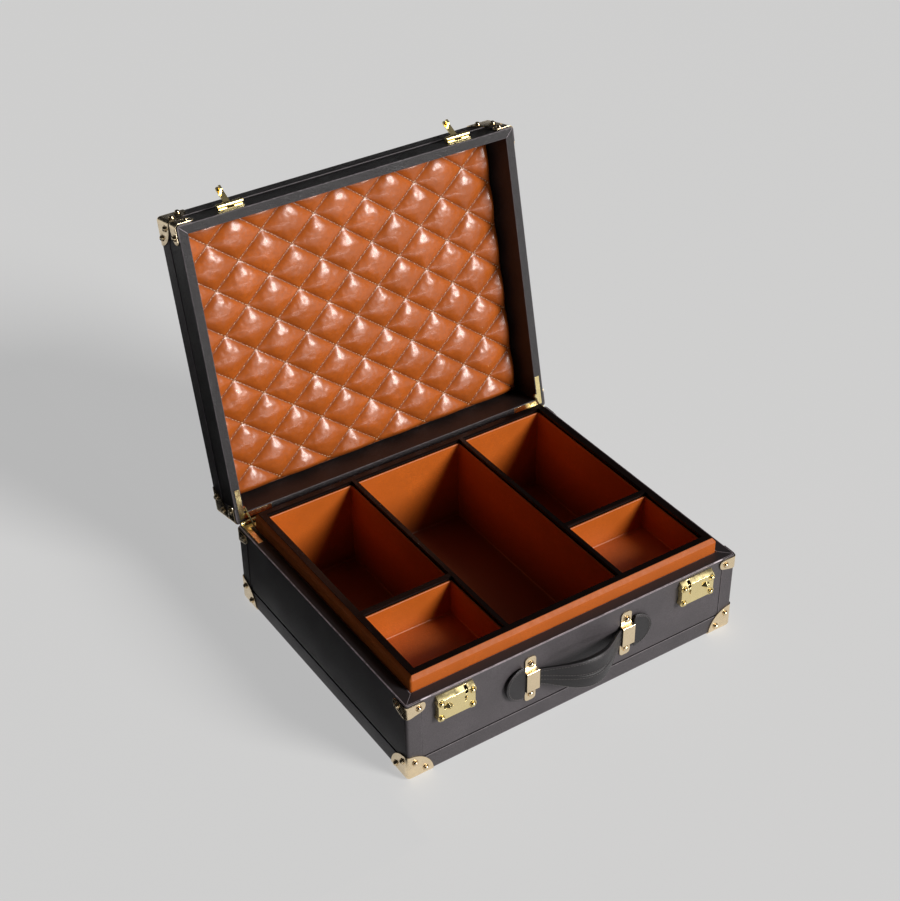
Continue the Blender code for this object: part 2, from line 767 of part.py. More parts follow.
def to_corner(bm, corner, signs):
    """Move a bmesh from corner space to a corner of the case and mirror it to face inwards."""
    matrix = Matrix.Translation(corner) @ Matrix.Diagonal((*signs, 1.0))
    bmesh.ops.transform(bm, matrix=matrix, verts=bm.verts)
    if signs[0] * signs[1] * signs[2] < 0:
        bmesh.ops.reverse_faces(bm, faces=bm.faces)
    return bm


def build_cap(name, frame, corner, signs, faces):
    """One three-sided brass corner cap with domed rivets."""
    body = to_corner(cap_shell(CAP_REACH, 0.004), corner, signs)
    cap = add_node(name, body, frame, "pale_brass")
    ball = bmesh.new()
    bmesh.ops.create_uvsphere(
        ball, u_segments=CAP_ARC_SEGMENTS, v_segments=CAP_ARC_SEGMENTS // 2, radius=CAP_REACH
    )
    trim = add_tool(name + "_trim", to_corner(ball, corner, signs), frame)
    add_boolean(cap, trim, "INTERSECT")
    rivets = bmesh.new()
    for point, direction in cap_rivets(faces):
        add_dome(rivets, point, direction, RIVET_RADIUS, RIVET_HEIGHT)
    add_boolean(cap, add_tool(name + "_rivets", to_corner(rivets, corner, signs), frame), "UNION")


def corner_names():
    """Signs and name of each plan corner."""
    return (
        ("front_left", -1, -1),
        ("front_right", 1, -1),
        ("rear_left", -1, 1),
        ("rear_right", 1, 1),
    )


def build_caps(frame):
    """Caps on the four bottom corners of the base and the four top corners of the lid."""
    for name, sx, sy in corner_names():
        low_corner = (sx * HALF_X, sy * HALF_Y, -PANEL_STEP)
        build_cap("base_cap_" + name, Frame(), low_corner, (-sx, -sy, 1.0), (0, 1))
        high_corner = (sx * HALF_X, sy * HALF_Y, LID_TOP_Z)
        build_cap("lid_cap_" + name, frame, high_corner, (-sx, -sy, -1.0), (0, 1, 2))


def bracket_outline():
    """One lobe of a rim bracket: distance from the corner and distance from the rim."""
    top = BRACKET_RIM_DROP
    low = top + BRACKET_HEIGHT
    start = -GAP - CAP_THICKNESS
    lobe = BRACKET_HEIGHT - 2.0 * (bracket_rivet_drop() - top)
    tip = low - lobe
    return (
        (start, top),
        (BRACKET_LENGTH * 0.86, top),
        (BRACKET_LENGTH * 0.96, top + tip * 0.14),
        (BRACKET_LENGTH, top + tip * 0.36),
        (BRACKET_LENGTH * 0.97, top + tip * 0.62),
        (BRACKET_LENGTH * 0.84, tip - BRACKET_HEIGHT * 0.08),
        (BRACKET_LENGTH * 0.40, low - BRACKET_HEIGHT * 0.08),
        (BRACKET_LENGTH * 0.20, low),
        (start, low),
    )


def bracket_rivet_drop():
    """Distance of a bracket's rivets from the rim; the lobe narrows towards them."""
    return BRACKET_RIM_DROP + BRACKET_HEIGHT * 0.40


def build_bracket(name, frame, corner, signs):
    """Two-sided brass bracket just off the rim, one rivet on each side."""
    outer = -GAP - CAP_THICKNESS
    body = bmesh.new()
    add_prism(body, bracket_outline(), 1, outer, -GAP)
    plate = add_node(name, to_corner(body, corner, signs), frame, "pale_brass")
    side = bmesh.new()
    add_prism(side, bracket_outline(), 0, outer, -GAP)
    add_boolean(plate, add_tool(name + "_side", to_corner(side, corner, signs), frame), "UNION")
    rivets = bmesh.new()
    height = bracket_rivet_drop()
    add_dome(rivets, (BRACKET_RIVET_REACH, outer, height), (0, -1, 0), RIVET_RADIUS, RIVET_HEIGHT)
    add_dome(rivets, (outer, BRACKET_RIVET_REACH, height), (-1, 0, 0), RIVET_RADIUS, RIVET_HEIGHT)
    add_boolean(plate, add_tool(name + "_rivets", to_corner(rivets, corner, signs), frame), "UNION")


def build_brackets(frame):
    """Rim brackets at the four corners of the base and of the lid."""
    for name, sx, sy in corner_names():
        base_corner = (sx * HALF_X, sy * HALF_Y, RIM_Z)
        build_bracket("base_bracket_" + name, Frame(), base_corner, (-sx, -sy, -1.0))
        lid_corner = (sx * HALF_X, sy * HALF_Y, LID_RIM_Z)
        build_bracket("lid_bracket_" + name, frame, lid_corner, (-sx, -sy, 1.0))


# ------------------------------------------------------------------ locks


def lock_levels():
    """Y levels of a lock: back on the panel, inside of the front plate, front of the plate."""
    back = -PANEL_Y - GAP
    front = back - LOCK_DEPTH
    return back, front + LOCK_WALL, front


def lug_levels():
    """Y and Z spans of the hasp tongue's lug when the lid is shut and the tongue is down."""
    back, inside, front = lock_levels()
    tongue_back = front - HASP_LOCK_CLEARANCE
    low = HASP_AXIS.z - HASP_LUG_REACH - HASP_LUG_HEIGHT / 2.0
    return (tongue_back, tongue_back + HASP_LUG_DEPTH), (low, low + HASP_LUG_HEIGHT)


def add_lock_outline(bm, x0, x1, inset, back):
    """Lock box with a sloping top, drawn inside its outer skin by a wall."""
    front = lock_levels()[2] + inset
    low = LOCK_TOP - LOCK_HEIGHT + inset
    top = LOCK_TOP - inset
    outline = (
        (back, low),
        (front, low),
        (front, LOCK_TOP - LOCK_BEVEL_DROP - inset * 0.6),
        (lock_levels()[2] + LOCK_BEVEL_DEPTH + inset * 0.4, top),
        (back, top),
    )
    add_prism(bm, outline, 0, x0, x1)


def lock_slots(x):
    """Openings in the front plate: lug slot, button slot and keyhole."""
    back, inside, front = lock_levels()
    deep = inside + GAP
    lug_half = HASP_LUG_HALF + HASP_LUG_SLACK
    lug_low = lug_levels()[1][0] - HASP_LUG_SLACK
    stem = BUTTON_STEM + GAP
    z = button_height()
    bm = bmesh.new()
    low = (HASP_OFFSET - lug_half, front - 0.01, lug_low)
    add_block(bm, low, (HASP_OFFSET + lug_half, deep + 0.0030, LOCK_TOP + 0.01))
    low = (x + BUTTON_REACH - stem, front - 0.01, z - stem)
    add_block(bm, low, (x + BUTTON_REACH + BUTTON_TRAVEL + stem, deep, z + stem))
    outline = []
    centre = (x - KEYHOLE_REACH, LOCK_CENTRE_Z + KEYHOLE_LENGTH / 2.0 - KEYHOLE_RADIUS)
    steps = 12
    neck = math.asin(KEYHOLE_HALF / KEYHOLE_RADIUS)
    for index in range(steps + 1):
        angle = -math.pi / 2.0 + neck + (2.0 * math.pi - 2.0 * neck) * index / steps
        outline.append((centre[0] + KEYHOLE_RADIUS * math.cos(angle), centre[1] + KEYHOLE_RADIUS * math.sin(angle)))
    outline.append((centre[0] - KEYHOLE_HALF, LOCK_CENTRE_Z - KEYHOLE_LENGTH / 2.0))
    outline.append((centre[0] + KEYHOLE_HALF, LOCK_CENTRE_Z - KEYHOLE_LENGTH / 2.0))
    add_prism(bm, outline, 1, front - 0.01, deep)
    return bm


def build_lock_case(side, name):
    """Box lock on the front face: walls, front plate with riveted ears, keyhole and button slot."""
    back, inside, front = lock_levels()
    x = LOCK_OFFSET
    half_w = LOCK_WIDTH / 2.0 - LOCK_EAR_PROUD
    outer = bmesh.new()
    add_lock_outline(outer, x - half_w, x + half_w, 0.0, back)
    case = add_node(name, mirrored(outer, side), Frame(), "polished_brass")
    ears = bmesh.new()
    rivets = bmesh.new()
    reach = LOCK_WIDTH / 2.0 - LOCK_EAR_RADIUS
    low = LOCK_TOP - LOCK_HEIGHT - LOCK_EAR_PROUD + LOCK_EAR_RADIUS
    high = LOCK_TOP - LOCK_BEVEL_DROP - LOCK_EAR_RADIUS * 0.8
    for sx in (-1, 1):
        for z in (low, high):
            spot = (x + sx * reach, front, z)
            add_rod(ears, spot, (0.0, 1.0, 0.0), back - front, LOCK_EAR_RADIUS, 16)
            add_dome(rivets, spot, (0.0, -1.0, 0.0), LOCK_RIVET_RADIUS, LOCK_RIVET_HEIGHT, LOCK_WALL / 2.0, 10)
    add_boolean(case, add_tool(name + "_ears", mirrored(ears, side), Frame()), "UNION")
    cavity = bmesh.new()
    add_lock_outline(cavity, x - half_w + LOCK_WALL, x + half_w - LOCK_WALL, LOCK_WALL, back + 0.01)
    add_boolean(case, add_tool(name + "_cavity", mirrored(cavity, side), Frame()), "DIFFERENCE")
    add_boolean(case, add_tool(name + "_slots", mirrored(lock_slots(x), side), Frame()), "DIFFERENCE")
    add_boolean(case, add_tool(name + "_rivets", mirrored(rivets, side), Frame()), "UNION")


def button_height():
    """Height of the lock button's centre."""
    return LOCK_CENTRE_Z + BUTTON_RISE


def button_frame(side):
    """Frame at the lock button's centre, which slides along X."""
    front = lock_levels()[2]
    return Frame((side * (LOCK_OFFSET + BUTTON_REACH), front, button_height()))


def build_button(side, name):
    """Pyramid-headed button on a square stem; its corners point up, down and to the sides."""
    back, inside, front = lock_levels()
    x = LOCK_OFFSET + BUTTON_REACH
    z = button_height()
    base = front - GAP
    bm = bmesh.new()
    half = BUTTON_HALF
    bmesh.ops.create_cone(
        bm,
        cap_ends=True,
        segments=4,
        radius1=half,
        radius2=half * 0.12,
        depth=BUTTON_HEIGHT,
        matrix=Matrix.Translation((x, base - BUTTON_HEIGHT / 2.0, z))
        @ Matrix.Rotation(math.radians(90.0), 4, "X"),
    )
    button = add_node(name, mirrored(bm, side), button_frame(side), "polished_brass")
    stem = bmesh.new()
    reach = BUTTON_STEM
    end = inside + GAP + CATCH_THICKNESS / 2.0
    add_block(stem, (x - reach, base - BUTTON_HEIGHT / 3.0, z - reach), (x + reach, end, z + reach))
    add_boolean(button, add_tool(name + "_stem", mirrored(stem, side), button_frame(side)), "UNION")
    plate = add_tool(name + "_catch", mirrored(catch_shape(), side), button_frame(side))
    add_boolean(button, plate, "UNION")


def catch_shape():
    """Flat catch behind the front plate; its nose passes through the hole in the tongue's lug."""
    inside = lock_levels()[1]
    low_y = inside + GAP
    high_y = low_y + CATCH_THICKNESS
    x = LOCK_OFFSET
    z = button_height()
    nose_z = lug_hole_centre()[1]
    nose = CATCH_NOSE_HALF
    near = x + HASP_LUG_HALF + HASP_LUG_SLACK + BUTTON_TRAVEL
    end = x + LOCK_WIDTH / 2.0 - LOCK_EAR_RADIUS * 2.0
    top = nose_z + nose
    added = [
        ((near, low_y, z - CATCH_HALF_HEIGHT), (end - BUTTON_TRAVEL, high_y, top)),
        ((HASP_OFFSET - CATCH_NOSE_ENGAGE, low_y, nose_z - nose), (near + 0.0005, high_y, top)),
    ]
    return block_solid(added)


def lug_hole_centre():
    """Y and Z of the hole in the lug, in line with the catch's nose."""
    back, inside, front = lock_levels()
    levels_z = lug_levels()[1]
    return inside + GAP + CATCH_THICKNESS / 2.0, (levels_z[0] + levels_z[1]) / 2.0


def build_key_cam(side, name):
    """Cam behind the keyhole that the key turns to block the catch."""
    back, inside, front = lock_levels()
    low_y = inside + GAP
    high_y = low_y + KEY_CAM_THICKNESS
    x = LOCK_OFFSET - KEYHOLE_REACH
    z = LOCK_CENTRE_Z
    outline = []
    steps = 14
    spread = math.radians(25.0)
    arm_half = KEY_CAM_RADIUS * math.sin(spread)
    for index in range(steps + 1):
        angle = spread + (2.0 * math.pi - 2.0 * spread) * index / steps
        outline.append((x + KEY_CAM_RADIUS * math.sin(angle), z - KEY_CAM_RADIUS * math.cos(angle)))
    outline.append((x - arm_half, z - KEY_CAM_ARM))
    outline.append((x + arm_half, z - KEY_CAM_ARM))
    bm = bmesh.new()
    add_prism(bm, outline, 1, low_y, high_y)
    frame = Frame((side * x, low_y, z))
    cam = add_node(name, mirrored(bm, side), frame, "polished_brass")
    hole = bmesh.new()
    half = KEYHOLE_HALF
    add_block(hole, (x - half, low_y - 0.001, z - 0.0018), (x + half, high_y + 0.001, z + 0.0018))
    add_boolean(cam, add_tool(name + "_slot", mirrored(hole, side), frame), "DIFFERENCE")


def build_locks():
    """Both front locks."""
    for side, word in ((-1, "left"), (1, "right")):
        build_lock_case(side, "lock_case_" + word)
        build_button(side, "lock_button_" + word)
        build_key_cam(side, "lock_key_cam_" + word)


# ------------------------------------------------------------------ hasps


def build_hasp_plate(side, name, frame):
    """Plate on the lid's front face with two knuckles that carry the hasp pin."""
    x = HASP_OFFSET
    half = HASP_BARREL_LENGTH / 2.0
    axis_y, axis_z = HASP_AXIS.y, HASP_AXIS.z
    back = -PANEL_Y - GAP
    plate = HASP_PLATE_THICKNESS
    reach = HASP_BARREL_RADIUS
    added = [((x - half, back - plate, axis_z - reach * 1.6), (x + half, back, axis_z + reach * 2.0))]
    knuckle = HASP_KNUCKLE_LENGTH
    for start in (x - half, x + half - knuckle):
        low = (start, axis_y, axis_z - reach * 0.6)
        added.append((low, (start + knuckle, back - plate / 2.0, axis_z + reach * 0.6)))
    bm = mirrored(block_solid(added), side)
    body = add_node(name, bm, frame, "polished_brass")
    tubes = bmesh.new()
    for start in (x - half, x + half - knuckle):
        add_rod(tubes, (start, axis_y, axis_z), (1.0, 0.0, 0.0), knuckle, reach, 16)
    add_boolean(body, add_tool(name + "_knuckles", mirrored(tubes, side), frame), "UNION")
    window = bmesh.new()
    clear = axis_y - lug_levels()[0][0] + HASP_TONGUE_THICKNESS + GAP
    start = (x - half + knuckle, axis_y, axis_z)
    add_rod(window, start, (1.0, 0.0, 0.0), HASP_BARREL_LENGTH - 2.0 * knuckle, clear, 16)
    add_boolean(body, add_tool(name + "_window", mirrored(window, side), frame), "DIFFERENCE")
    bore = bmesh.new()
    start = (x - half - 0.002, axis_y, axis_z)
    add_rod(bore, start, (1.0, 0.0, 0.0), HASP_BARREL_LENGTH + 0.004, HASP_PIN_RADIUS + GAP, 16)
    add_boolean(body, add_tool(name + "_bore", mirrored(bore, side), frame), "DIFFERENCE")


def build_hasp_pin(side, name, frame):
    """Pin with a round head at each end of the hasp barrel."""
    half = HASP_BARREL_LENGTH / 2.0 + GAP
    head = HASP_PIN_HEAD_LENGTH
    wide = HASP_PIN_HEAD_RADIUS
    profile = (
        (-half - head, wide * 0.6),
        (-half - head * 0.5, wide),
        (-half, wide),
        (-half, HASP_PIN_RADIUS),
        (half, HASP_PIN_RADIUS),
        (half, wide),
        (half + head * 0.5, wide),
        (half + head, wide * 0.6),
    )
    bm = bmesh.new()
    add_turned(bm, (HASP_OFFSET, HASP_AXIS.y, HASP_AXIS.z), profile, 14)
    add_node(name, mirrored(bm, side), frame, "polished_brass", smooth=True)


def build_hasp_tongue(side, name, frame):
    """Swinging tongue with an inturned lug for the catch, modelled hanging straight down."""
    x = HASP_OFFSET
    half = HASP_TONGUE_WIDTH / 2.0
    axis_y, axis_z = HASP_AXIS.y, HASP_AXIS.z
    lug_y, lug_z = lug_levels()
    face = lug_y[0]
    tip = axis_z - HASP_TONGUE_LENGTH
    hole_y, hole_z = lug_hole_centre()
    slack = CATCH_NOSE_HALF + HASP_LUG_SLACK
    depth = CATCH_THICKNESS / 2.0 + HASP_LUG_SLACK
    added = [
        ((x - half, face - HASP_TONGUE_THICKNESS, tip), (x + half, face, axis_z)),
        ((x - HASP_LUG_HALF, face - 0.0004, lug_z[0]), (x + HASP_LUG_HALF, lug_y[1], lug_z[1])),
    ]
    hole = ((x - 0.01, hole_y - depth, hole_z - slack), (x + 0.01, hole_y + depth, hole_z + slack))
    bm = block_solid(added, [hole])

    def tip_corner(a, b):
        return abs(a.z - tip) < 1e-6 and abs(b.z - tip) < 1e-6 and abs(a.x - b.x) < 1e-6

    round_edges(bm, tip_corner, HASP_TONGUE_WIDTH * 0.3, segments=3)
    tongue = add_node(name, mirrored(bm, side), frame, "polished_brass")
    reach = HASP_BARREL_LENGTH / 2.0 - HASP_KNUCKLE_LENGTH - GAP
    tube = bmesh.new()
    add_rod(tube, (x - reach, axis_y, axis_z), (1.0, 0.0, 0.0), 2.0 * reach, HASP_BARREL_RADIUS, 16)
    add_boolean(tongue, add_tool(name + "_knuckle", mirrored(tube, side), frame), "UNION")
    bore = bmesh.new()
    start = (x - reach - 0.002, axis_y, axis_z)
    add_rod(bore, start, (1.0, 0.0, 0.0), 2.0 * reach + 0.004, HASP_PIN_RADIUS + GAP, 16)
    add_boolean(tongue, add_tool(name + "_bore", mirrored(bore, side), frame), "DIFFERENCE")


def build_hasps(lid_empty):
    """Both hasps; each tongue turns on its own empty."""
    frame = lid_frame(lid_empty)
    for side, word in ((-1, "left"), (1, "right")):
        build_hasp_plate(side, "hasp_plate_" + word, frame)
        build_hasp_pin(side, "hasp_pin_" + word, frame)
        origin = Vector((side * HASP_OFFSET, HASP_AXIS.y, HASP_AXIS.z))
        pivot = make_empty("hasp_axis_" + word, origin - HINGE_AXIS, lid_empty)
        pivot.rotation_euler = (-HASP_OPEN_ANGLE, 0.0, 0.0)
        build_hasp_tongue(side, "hasp_tongue_" + word, Frame(origin, pivot))


# ------------------------------------------------------------------ hinges and stays


def add_leaf_webs(blocks, spans, low_z, high_z):
    """Webs that join a leaf to its knuckles."""
    for x0, x1 in spans:
        rear = HINGE_AXIS.y - HINGE_PIN_RADIUS - GAP - 0.0002
        blocks.append(((x0, HALF_Y - LEAF_REAR_NEAR - 0.001, low_z), (x1, rear, high_z)))


def build_leaf(side, name, frame, low_z, spans, extra):
    """L-shaped hinge leaf let into a rim, with its knuckles."""
    high_z = low_z + LEAF_THICKNESS
    added = []
    for x0, x1, y0, y1 in leaf_outline():
        added.append(((x0, y0, low_z), (x1, y1, high_z)))
    add_leaf_webs(added, spans, low_z, high_z)
    added += extra
    leaf = add_node(name, mirrored(block_solid(added), side), frame, "polished_brass")
    tubes = bmesh.new()
    for x0, x1 in spans:
        add_rod(tubes, (x0, HINGE_AXIS.y, HINGE_AXIS.z), (1.0, 0.0, 0.0), x1 - x0, HINGE_BARREL_RADIUS, 16)
    add_boolean(leaf, add_tool(name + "_knuckles", mirrored(tubes, side), frame), "UNION")
    bore = bmesh.new()
    start = (HINGE_OUTER_X - HINGE_LENGTH - 0.002, HINGE_AXIS.y, HINGE_AXIS.z)
    add_rod(bore, start, (1.0, 0.0, 0.0), HINGE_LENGTH + 0.004, HINGE_PIN_RADIUS + GAP, 16)
    add_boolean(leaf, add_tool(name + "_bore", mirrored(bore, side), frame), "DIFFERENCE")
    return leaf


def stay_levels():
    """X levels of the stay: lug faces and link faces, and the stay pivot's Y and Z, lid shut."""
    wall_x = HALF_X - LID_WALL
    lug = (wall_x - 0.0002 - STAY_LUG_THICKNESS, wall_x - 0.0002)
    link = (lug[0] - GAP - STAY_THICKNESS, lug[0] - GAP)
    pivot_y = HINGE_AXIS.y - STAY_PIVOT_REACH
    pivot_z = HINGE_AXIS.z + STAY_PIVOT_RISE
    return lug, link, pivot_y, pivot_z


def build_hinges(lid_empty):
    """Both hinges: base leaf, lid leaf with its stay lug, and the pin."""
    lid = lid_frame(lid_empty)
    base_spans, lid_spans = knuckle_spans()
    lug, link, pivot_y, pivot_z = stay_levels()
    base_low = RIM_Z - LEAF_SINK - LEAF_THICKNESS
    lid_low = LID_RIM_Z + LEAF_SINK
    leaf_inner = leaf_outline()[0][0]
    half = STAY_LUG_RADIUS
    lug_box = ((lug[0], pivot_y - half, lid_low), (lug[1], pivot_y + half, pivot_z + half))
    foot_box = ((lug[0], pivot_y - half, lid_low), (leaf_inner + 0.001, pivot_y + half, lid_low + LEAF_THICKNESS))
    for side, word in ((-1, "left"), (1, "right")):
        build_leaf(side, "hinge_base_leaf_" + word, Frame(), base_low, base_spans, [])
        leaf = build_leaf(side, "hinge_lid_leaf_" + word, lid, lid_low, lid_spans, [lug_box, foot_box])
        bore = bmesh.new()
        add_rod(bore, (lug[0] - 0.001, pivot_y, pivot_z), (1.0, 0.0, 0.0), 0.003, STAY_PIN_RADIUS + GAP, 12)
        add_boolean(leaf, add_tool(leaf.name + "_stay_bore", mirrored(bore, side), lid), "DIFFERENCE")
        pin = bmesh.new()
        start = (HINGE_OUTER_X - HINGE_LENGTH, HINGE_AXIS.y, HINGE_AXIS.z)
        add_rod(pin, start, (1.0, 0.0, 0.0), HINGE_LENGTH, HINGE_PIN_RADIUS, 14)
        add_node("hinge_pin_" + word, mirrored(pin, side), Frame(), "polished_brass", smooth=True)
        build_stay(side, "stay_link_" + word, lid_empty)


def stay_rest_angle():
    """Angle the link has turned from lying flat, in lid space, when the lid is fully open."""
    reach = STAY_PIVOT_REACH
    rise = STAY_PIVOT_RISE
    angle = -LID_OPEN_ANGLE
    z = -reach * math.sin(angle) + rise * math.cos(angle)
    drop = z - STAY_END_RISE
    return math.asin(min(1.0, drop / STAY_LENGTH)) + LID_OPEN_ANGLE


def build_stay(side, name, lid_empty):
    """Stay link: a thin bar that turns on the lid leaf's lug, modelled lying towards the front."""
    lug, link, pivot_y, pivot_z = stay_levels()
    origin = Vector((side * (link[0] + link[1]) / 2.0, pivot_y, pivot_z))
    pivot = make_empty(name + "_axis", origin - HINGE_AXIS, lid_empty)
    pivot.rotation_euler = (stay_rest_angle(), 0.0, 0.0)
    half = STAY_WIDTH / 2.0
    outline = []
    steps = 6
    for index in range(steps + 1):
        angle = -math.pi / 2.0 + math.pi * index / steps
        outline.append((pivot_y + half * math.cos(angle), pivot_z + half * math.sin(angle)))
    for index in range(steps + 1):
        angle = math.pi / 2.0 + math.pi * index / steps
        outline.append((pivot_y - STAY_LENGTH + half * math.cos(angle), pivot_z + half * math.sin(angle)))
    bm = bmesh.new()
    add_prism(bm, outline, 0, link[0], link[1])
    frame = Frame(origin, pivot)
    bar = add_node(name, mirrored(bm, side), frame, "polished_brass")
    stub = bmesh.new()
    start = (link[1] - 0.0004, pivot_y, pivot_z)
    add_rod(stub, start, (1.0, 0.0, 0.0), STAY_LUG_THICKNESS + GAP + 0.0004, STAY_PIN_RADIUS, 12)
    add_boolean(bar, add_tool(name + "_stub", mirrored(stub, side), frame), "UNION")


# ------------------------------------------------------------------ handle


def build_keeper(side, name):
    """Stepped brass strap that holds one end of the handle to the front face."""
    x = KEEPER_OFFSET
    back = -PANEL_Y - GAP
    half_w = KEEPER_WIDTH / 2.0
    half_l = KEEPER_LENGTH / 2.0
    raised = KEEPER_RAISED_LENGTH / 2.0
    z = HANDLE_CENTRE_Z
    plate = KEEPER_THICKNESS
    front = back - KEEPER_RAISED_DEPTH
    narrow = half_w - 0.0012
    added = [
        ((x - narrow, back - plate, z - half_l), (x + narrow, back, z + half_l)),
        ((x - half_w, front, z - raised), (x + half_w, back, z + raised)),
    ]
    removed = [((x - 0.05, front + plate, z - raised + plate), (x + 0.05, back + 0.01, z + raised - plate))]
    bm = block_solid(added, removed)

    def tip(a, b):
        at_end = abs(abs(a.z - z) - half_l) < 1e-6 and abs(abs(b.z - z) - half_l) < 1e-6
        return at_end and abs(a.x - b.x) < 1e-6

    def shoulder(a, b):
        on_front = abs(a.y - front) < 1e-6 and abs(b.y - front) < 1e-6
        return on_front and abs(a.z - b.z) < 1e-6

    round_edges(bm, tip, 0.004, segments=3)
    round_edges(bm, shoulder, 0.0010, segments=2)
    keeper = add_node(name, mirrored(bm, side), Frame(), "pale_brass")
    screws = bmesh.new()
    for dz in (-KEEPER_SCREW_REACH, KEEPER_SCREW_REACH):
        add_dome(screws, (x, back - plate, z + dz), (0.0, -1.0, 0.0), 0.0034, 0.0020)
    add_boolean(keeper, add_tool(name + "_screws", mirrored(screws, side), Frame()), "UNION")


def smooth_step(value):
    """Ease from 0 to 1."""
    value = max(0.0, min(1.0, value))
    return value * value * (3.0 - 2.0 * value)


def handle_bow(x):
    """How far the strap's middle line stands in front of its flat ends at a distance from centre."""
    start = KEEPER_OFFSET - KEEPER_WIDTH * 0.5
    if abs(x) >= start:
        return 0.0
    return HANDLE_BOW * (math.cos(math.pi * x / start) * 0.5 + 0.5) ** 0.62


def handle_width(x):
    """Width of the strap at a distance from centre."""
    reach = abs(x)
    end_centre = HANDLE_END_REACH - HANDLE_END_RADIUS
    if reach > end_centre:
        across = min(1.0, (reach - end_centre) / HANDLE_END_RADIUS)
        return 2.0 * HANDLE_END_RADIUS * math.sqrt(max(0.0, 1.0 - across * across))
    shoulder = end_centre - HANDLE_SHOULDER
    if reach > shoulder:
        blend = (reach - shoulder) / HANDLE_SHOULDER
        return HANDLE_NECK_WIDTH + (2.0 * HANDLE_END_RADIUS - HANDLE_NECK_WIDTH) * blend ** 0.5
    grip_end = KEEPER_OFFSET - KEEPER_WIDTH / 2.0
    blend = smooth_step(1.0 - reach / grip_end)
    return HANDLE_NECK_WIDTH + (HANDLE_GRIP_WIDTH - HANDLE_NECK_WIDTH) * blend ** 0.7


def handle_thickness(x):
    """Thickness of the strap at a distance from centre."""
    blend = smooth_step(1.0 - abs(x) / (KEEPER_OFFSET - 0.010))
    return HANDLE_END_THICKNESS + (HANDLE_GRIP_THICKNESS - HANDLE_END_THICKNESS) * blend


def handle_stations():
    """Distances from centre at which the strap is drawn, closer together towards its round ends."""
    tip = HANDLE_END_REACH - 0.0002
    end_centre = HANDLE_END_REACH - HANDLE_END_RADIUS
    shoulder = end_centre - HANDLE_SHOULDER
    values = set()
    for index in range(HANDLE_END_STATIONS + 1):
        turn = math.pi / 2.0 * index / HANDLE_END_STATIONS
        values.add(min(tip, end_centre + HANDLE_END_RADIUS * math.sin(turn)))
    for index in range(HANDLE_GRIP_STATIONS + 1):
        values.add(shoulder * index / HANDLE_GRIP_STATIONS)
    values.add(shoulder + HANDLE_SHOULDER * 0.15)
    values.add(shoulder + HANDLE_SHOULDER * 0.5)
    return sorted({-value for value in values if value > 0.0} | values)


def build_handle():
    """Leather strap: flat round ends held under the keepers and a bowed, padded grip between."""
    y0 = -PANEL_Y - HANDLE_STANDOFF - HANDLE_END_THICKNESS / 2.0
    z0 = HANDLE_CENTRE_Z
    centre = (0.0, y0, z0)
    bm = bmesh.new()
    rings = []
    for x in handle_stations():
        width = handle_width(x)
        thick = handle_thickness(x)
        y = y0 - handle_bow(x)
        slope = (handle_bow(x - 0.0005) - handle_bow(x + 0.0005)) / 0.001
        along = Vector((1.0, slope, 0.0)).normalized()
        across = Vector((-along.y, along.x, 0.0))
        soft = min(thick * 0.45, width * 0.2)
        half_t = thick / 2.0
        half_w = width / 2.0
        section = (
            (-half_t + soft * 0.3, -half_w),
            (half_t - soft * 0.3, -half_w),
            (half_t, -half_w + soft),
            (half_t, half_w - soft),
            (half_t - soft * 0.3, half_w),
            (-half_t + soft * 0.3, half_w),
            (-half_t, half_w - soft),
            (-half_t, -half_w + soft),
        )
        base = Vector((x, y, z0))
        rings.append([bm.verts.new(base + across * t + Vector((0.0, 0.0, w))) for t, w in section])
    bm.faces.new(rings[0])
    bm.faces.new(list(reversed(rings[-1])))
    bridge_rings(bm, rings)
    add_node("handle_strap", bm, Frame(centre), "dark_leather", smooth=True)
    for side, word in ((-1, "left"), (1, "right")):
        build_keeper(side, "handle_keeper_" + word)


# ------------------------------------------------------------------ whole case


def main():
    clear_scene()
    lid_empty = make_empty("lid_axis", HINGE_AXIS)
    lid_empty.rotation_euler = (-LID_OPEN_ANGLE, 0.0, 0.0)
    lid = lid_frame(lid_empty)
    build_base_shell()
    build_base_binding()
    build_liner_box()
    build_divider_frame()
    build_trays()
    build_lid_shell(lid)
    build_lid_binding(lid)
    build_lid_pad(lid)
    build_caps(lid)
    build_brackets(lid)
    build_locks()
    build_hasps(lid_empty)
    build_hinges(lid_empty)
    build_handle()


main()
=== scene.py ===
"""Leather poker chip case with a quilted lid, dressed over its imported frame.

Every size here is in metres, in the frame's own coordinates: +Z up, front of the case towards -Y.
Pieces of the lid are modelled as if it were shut and are then swung open about the hinge line.
"""

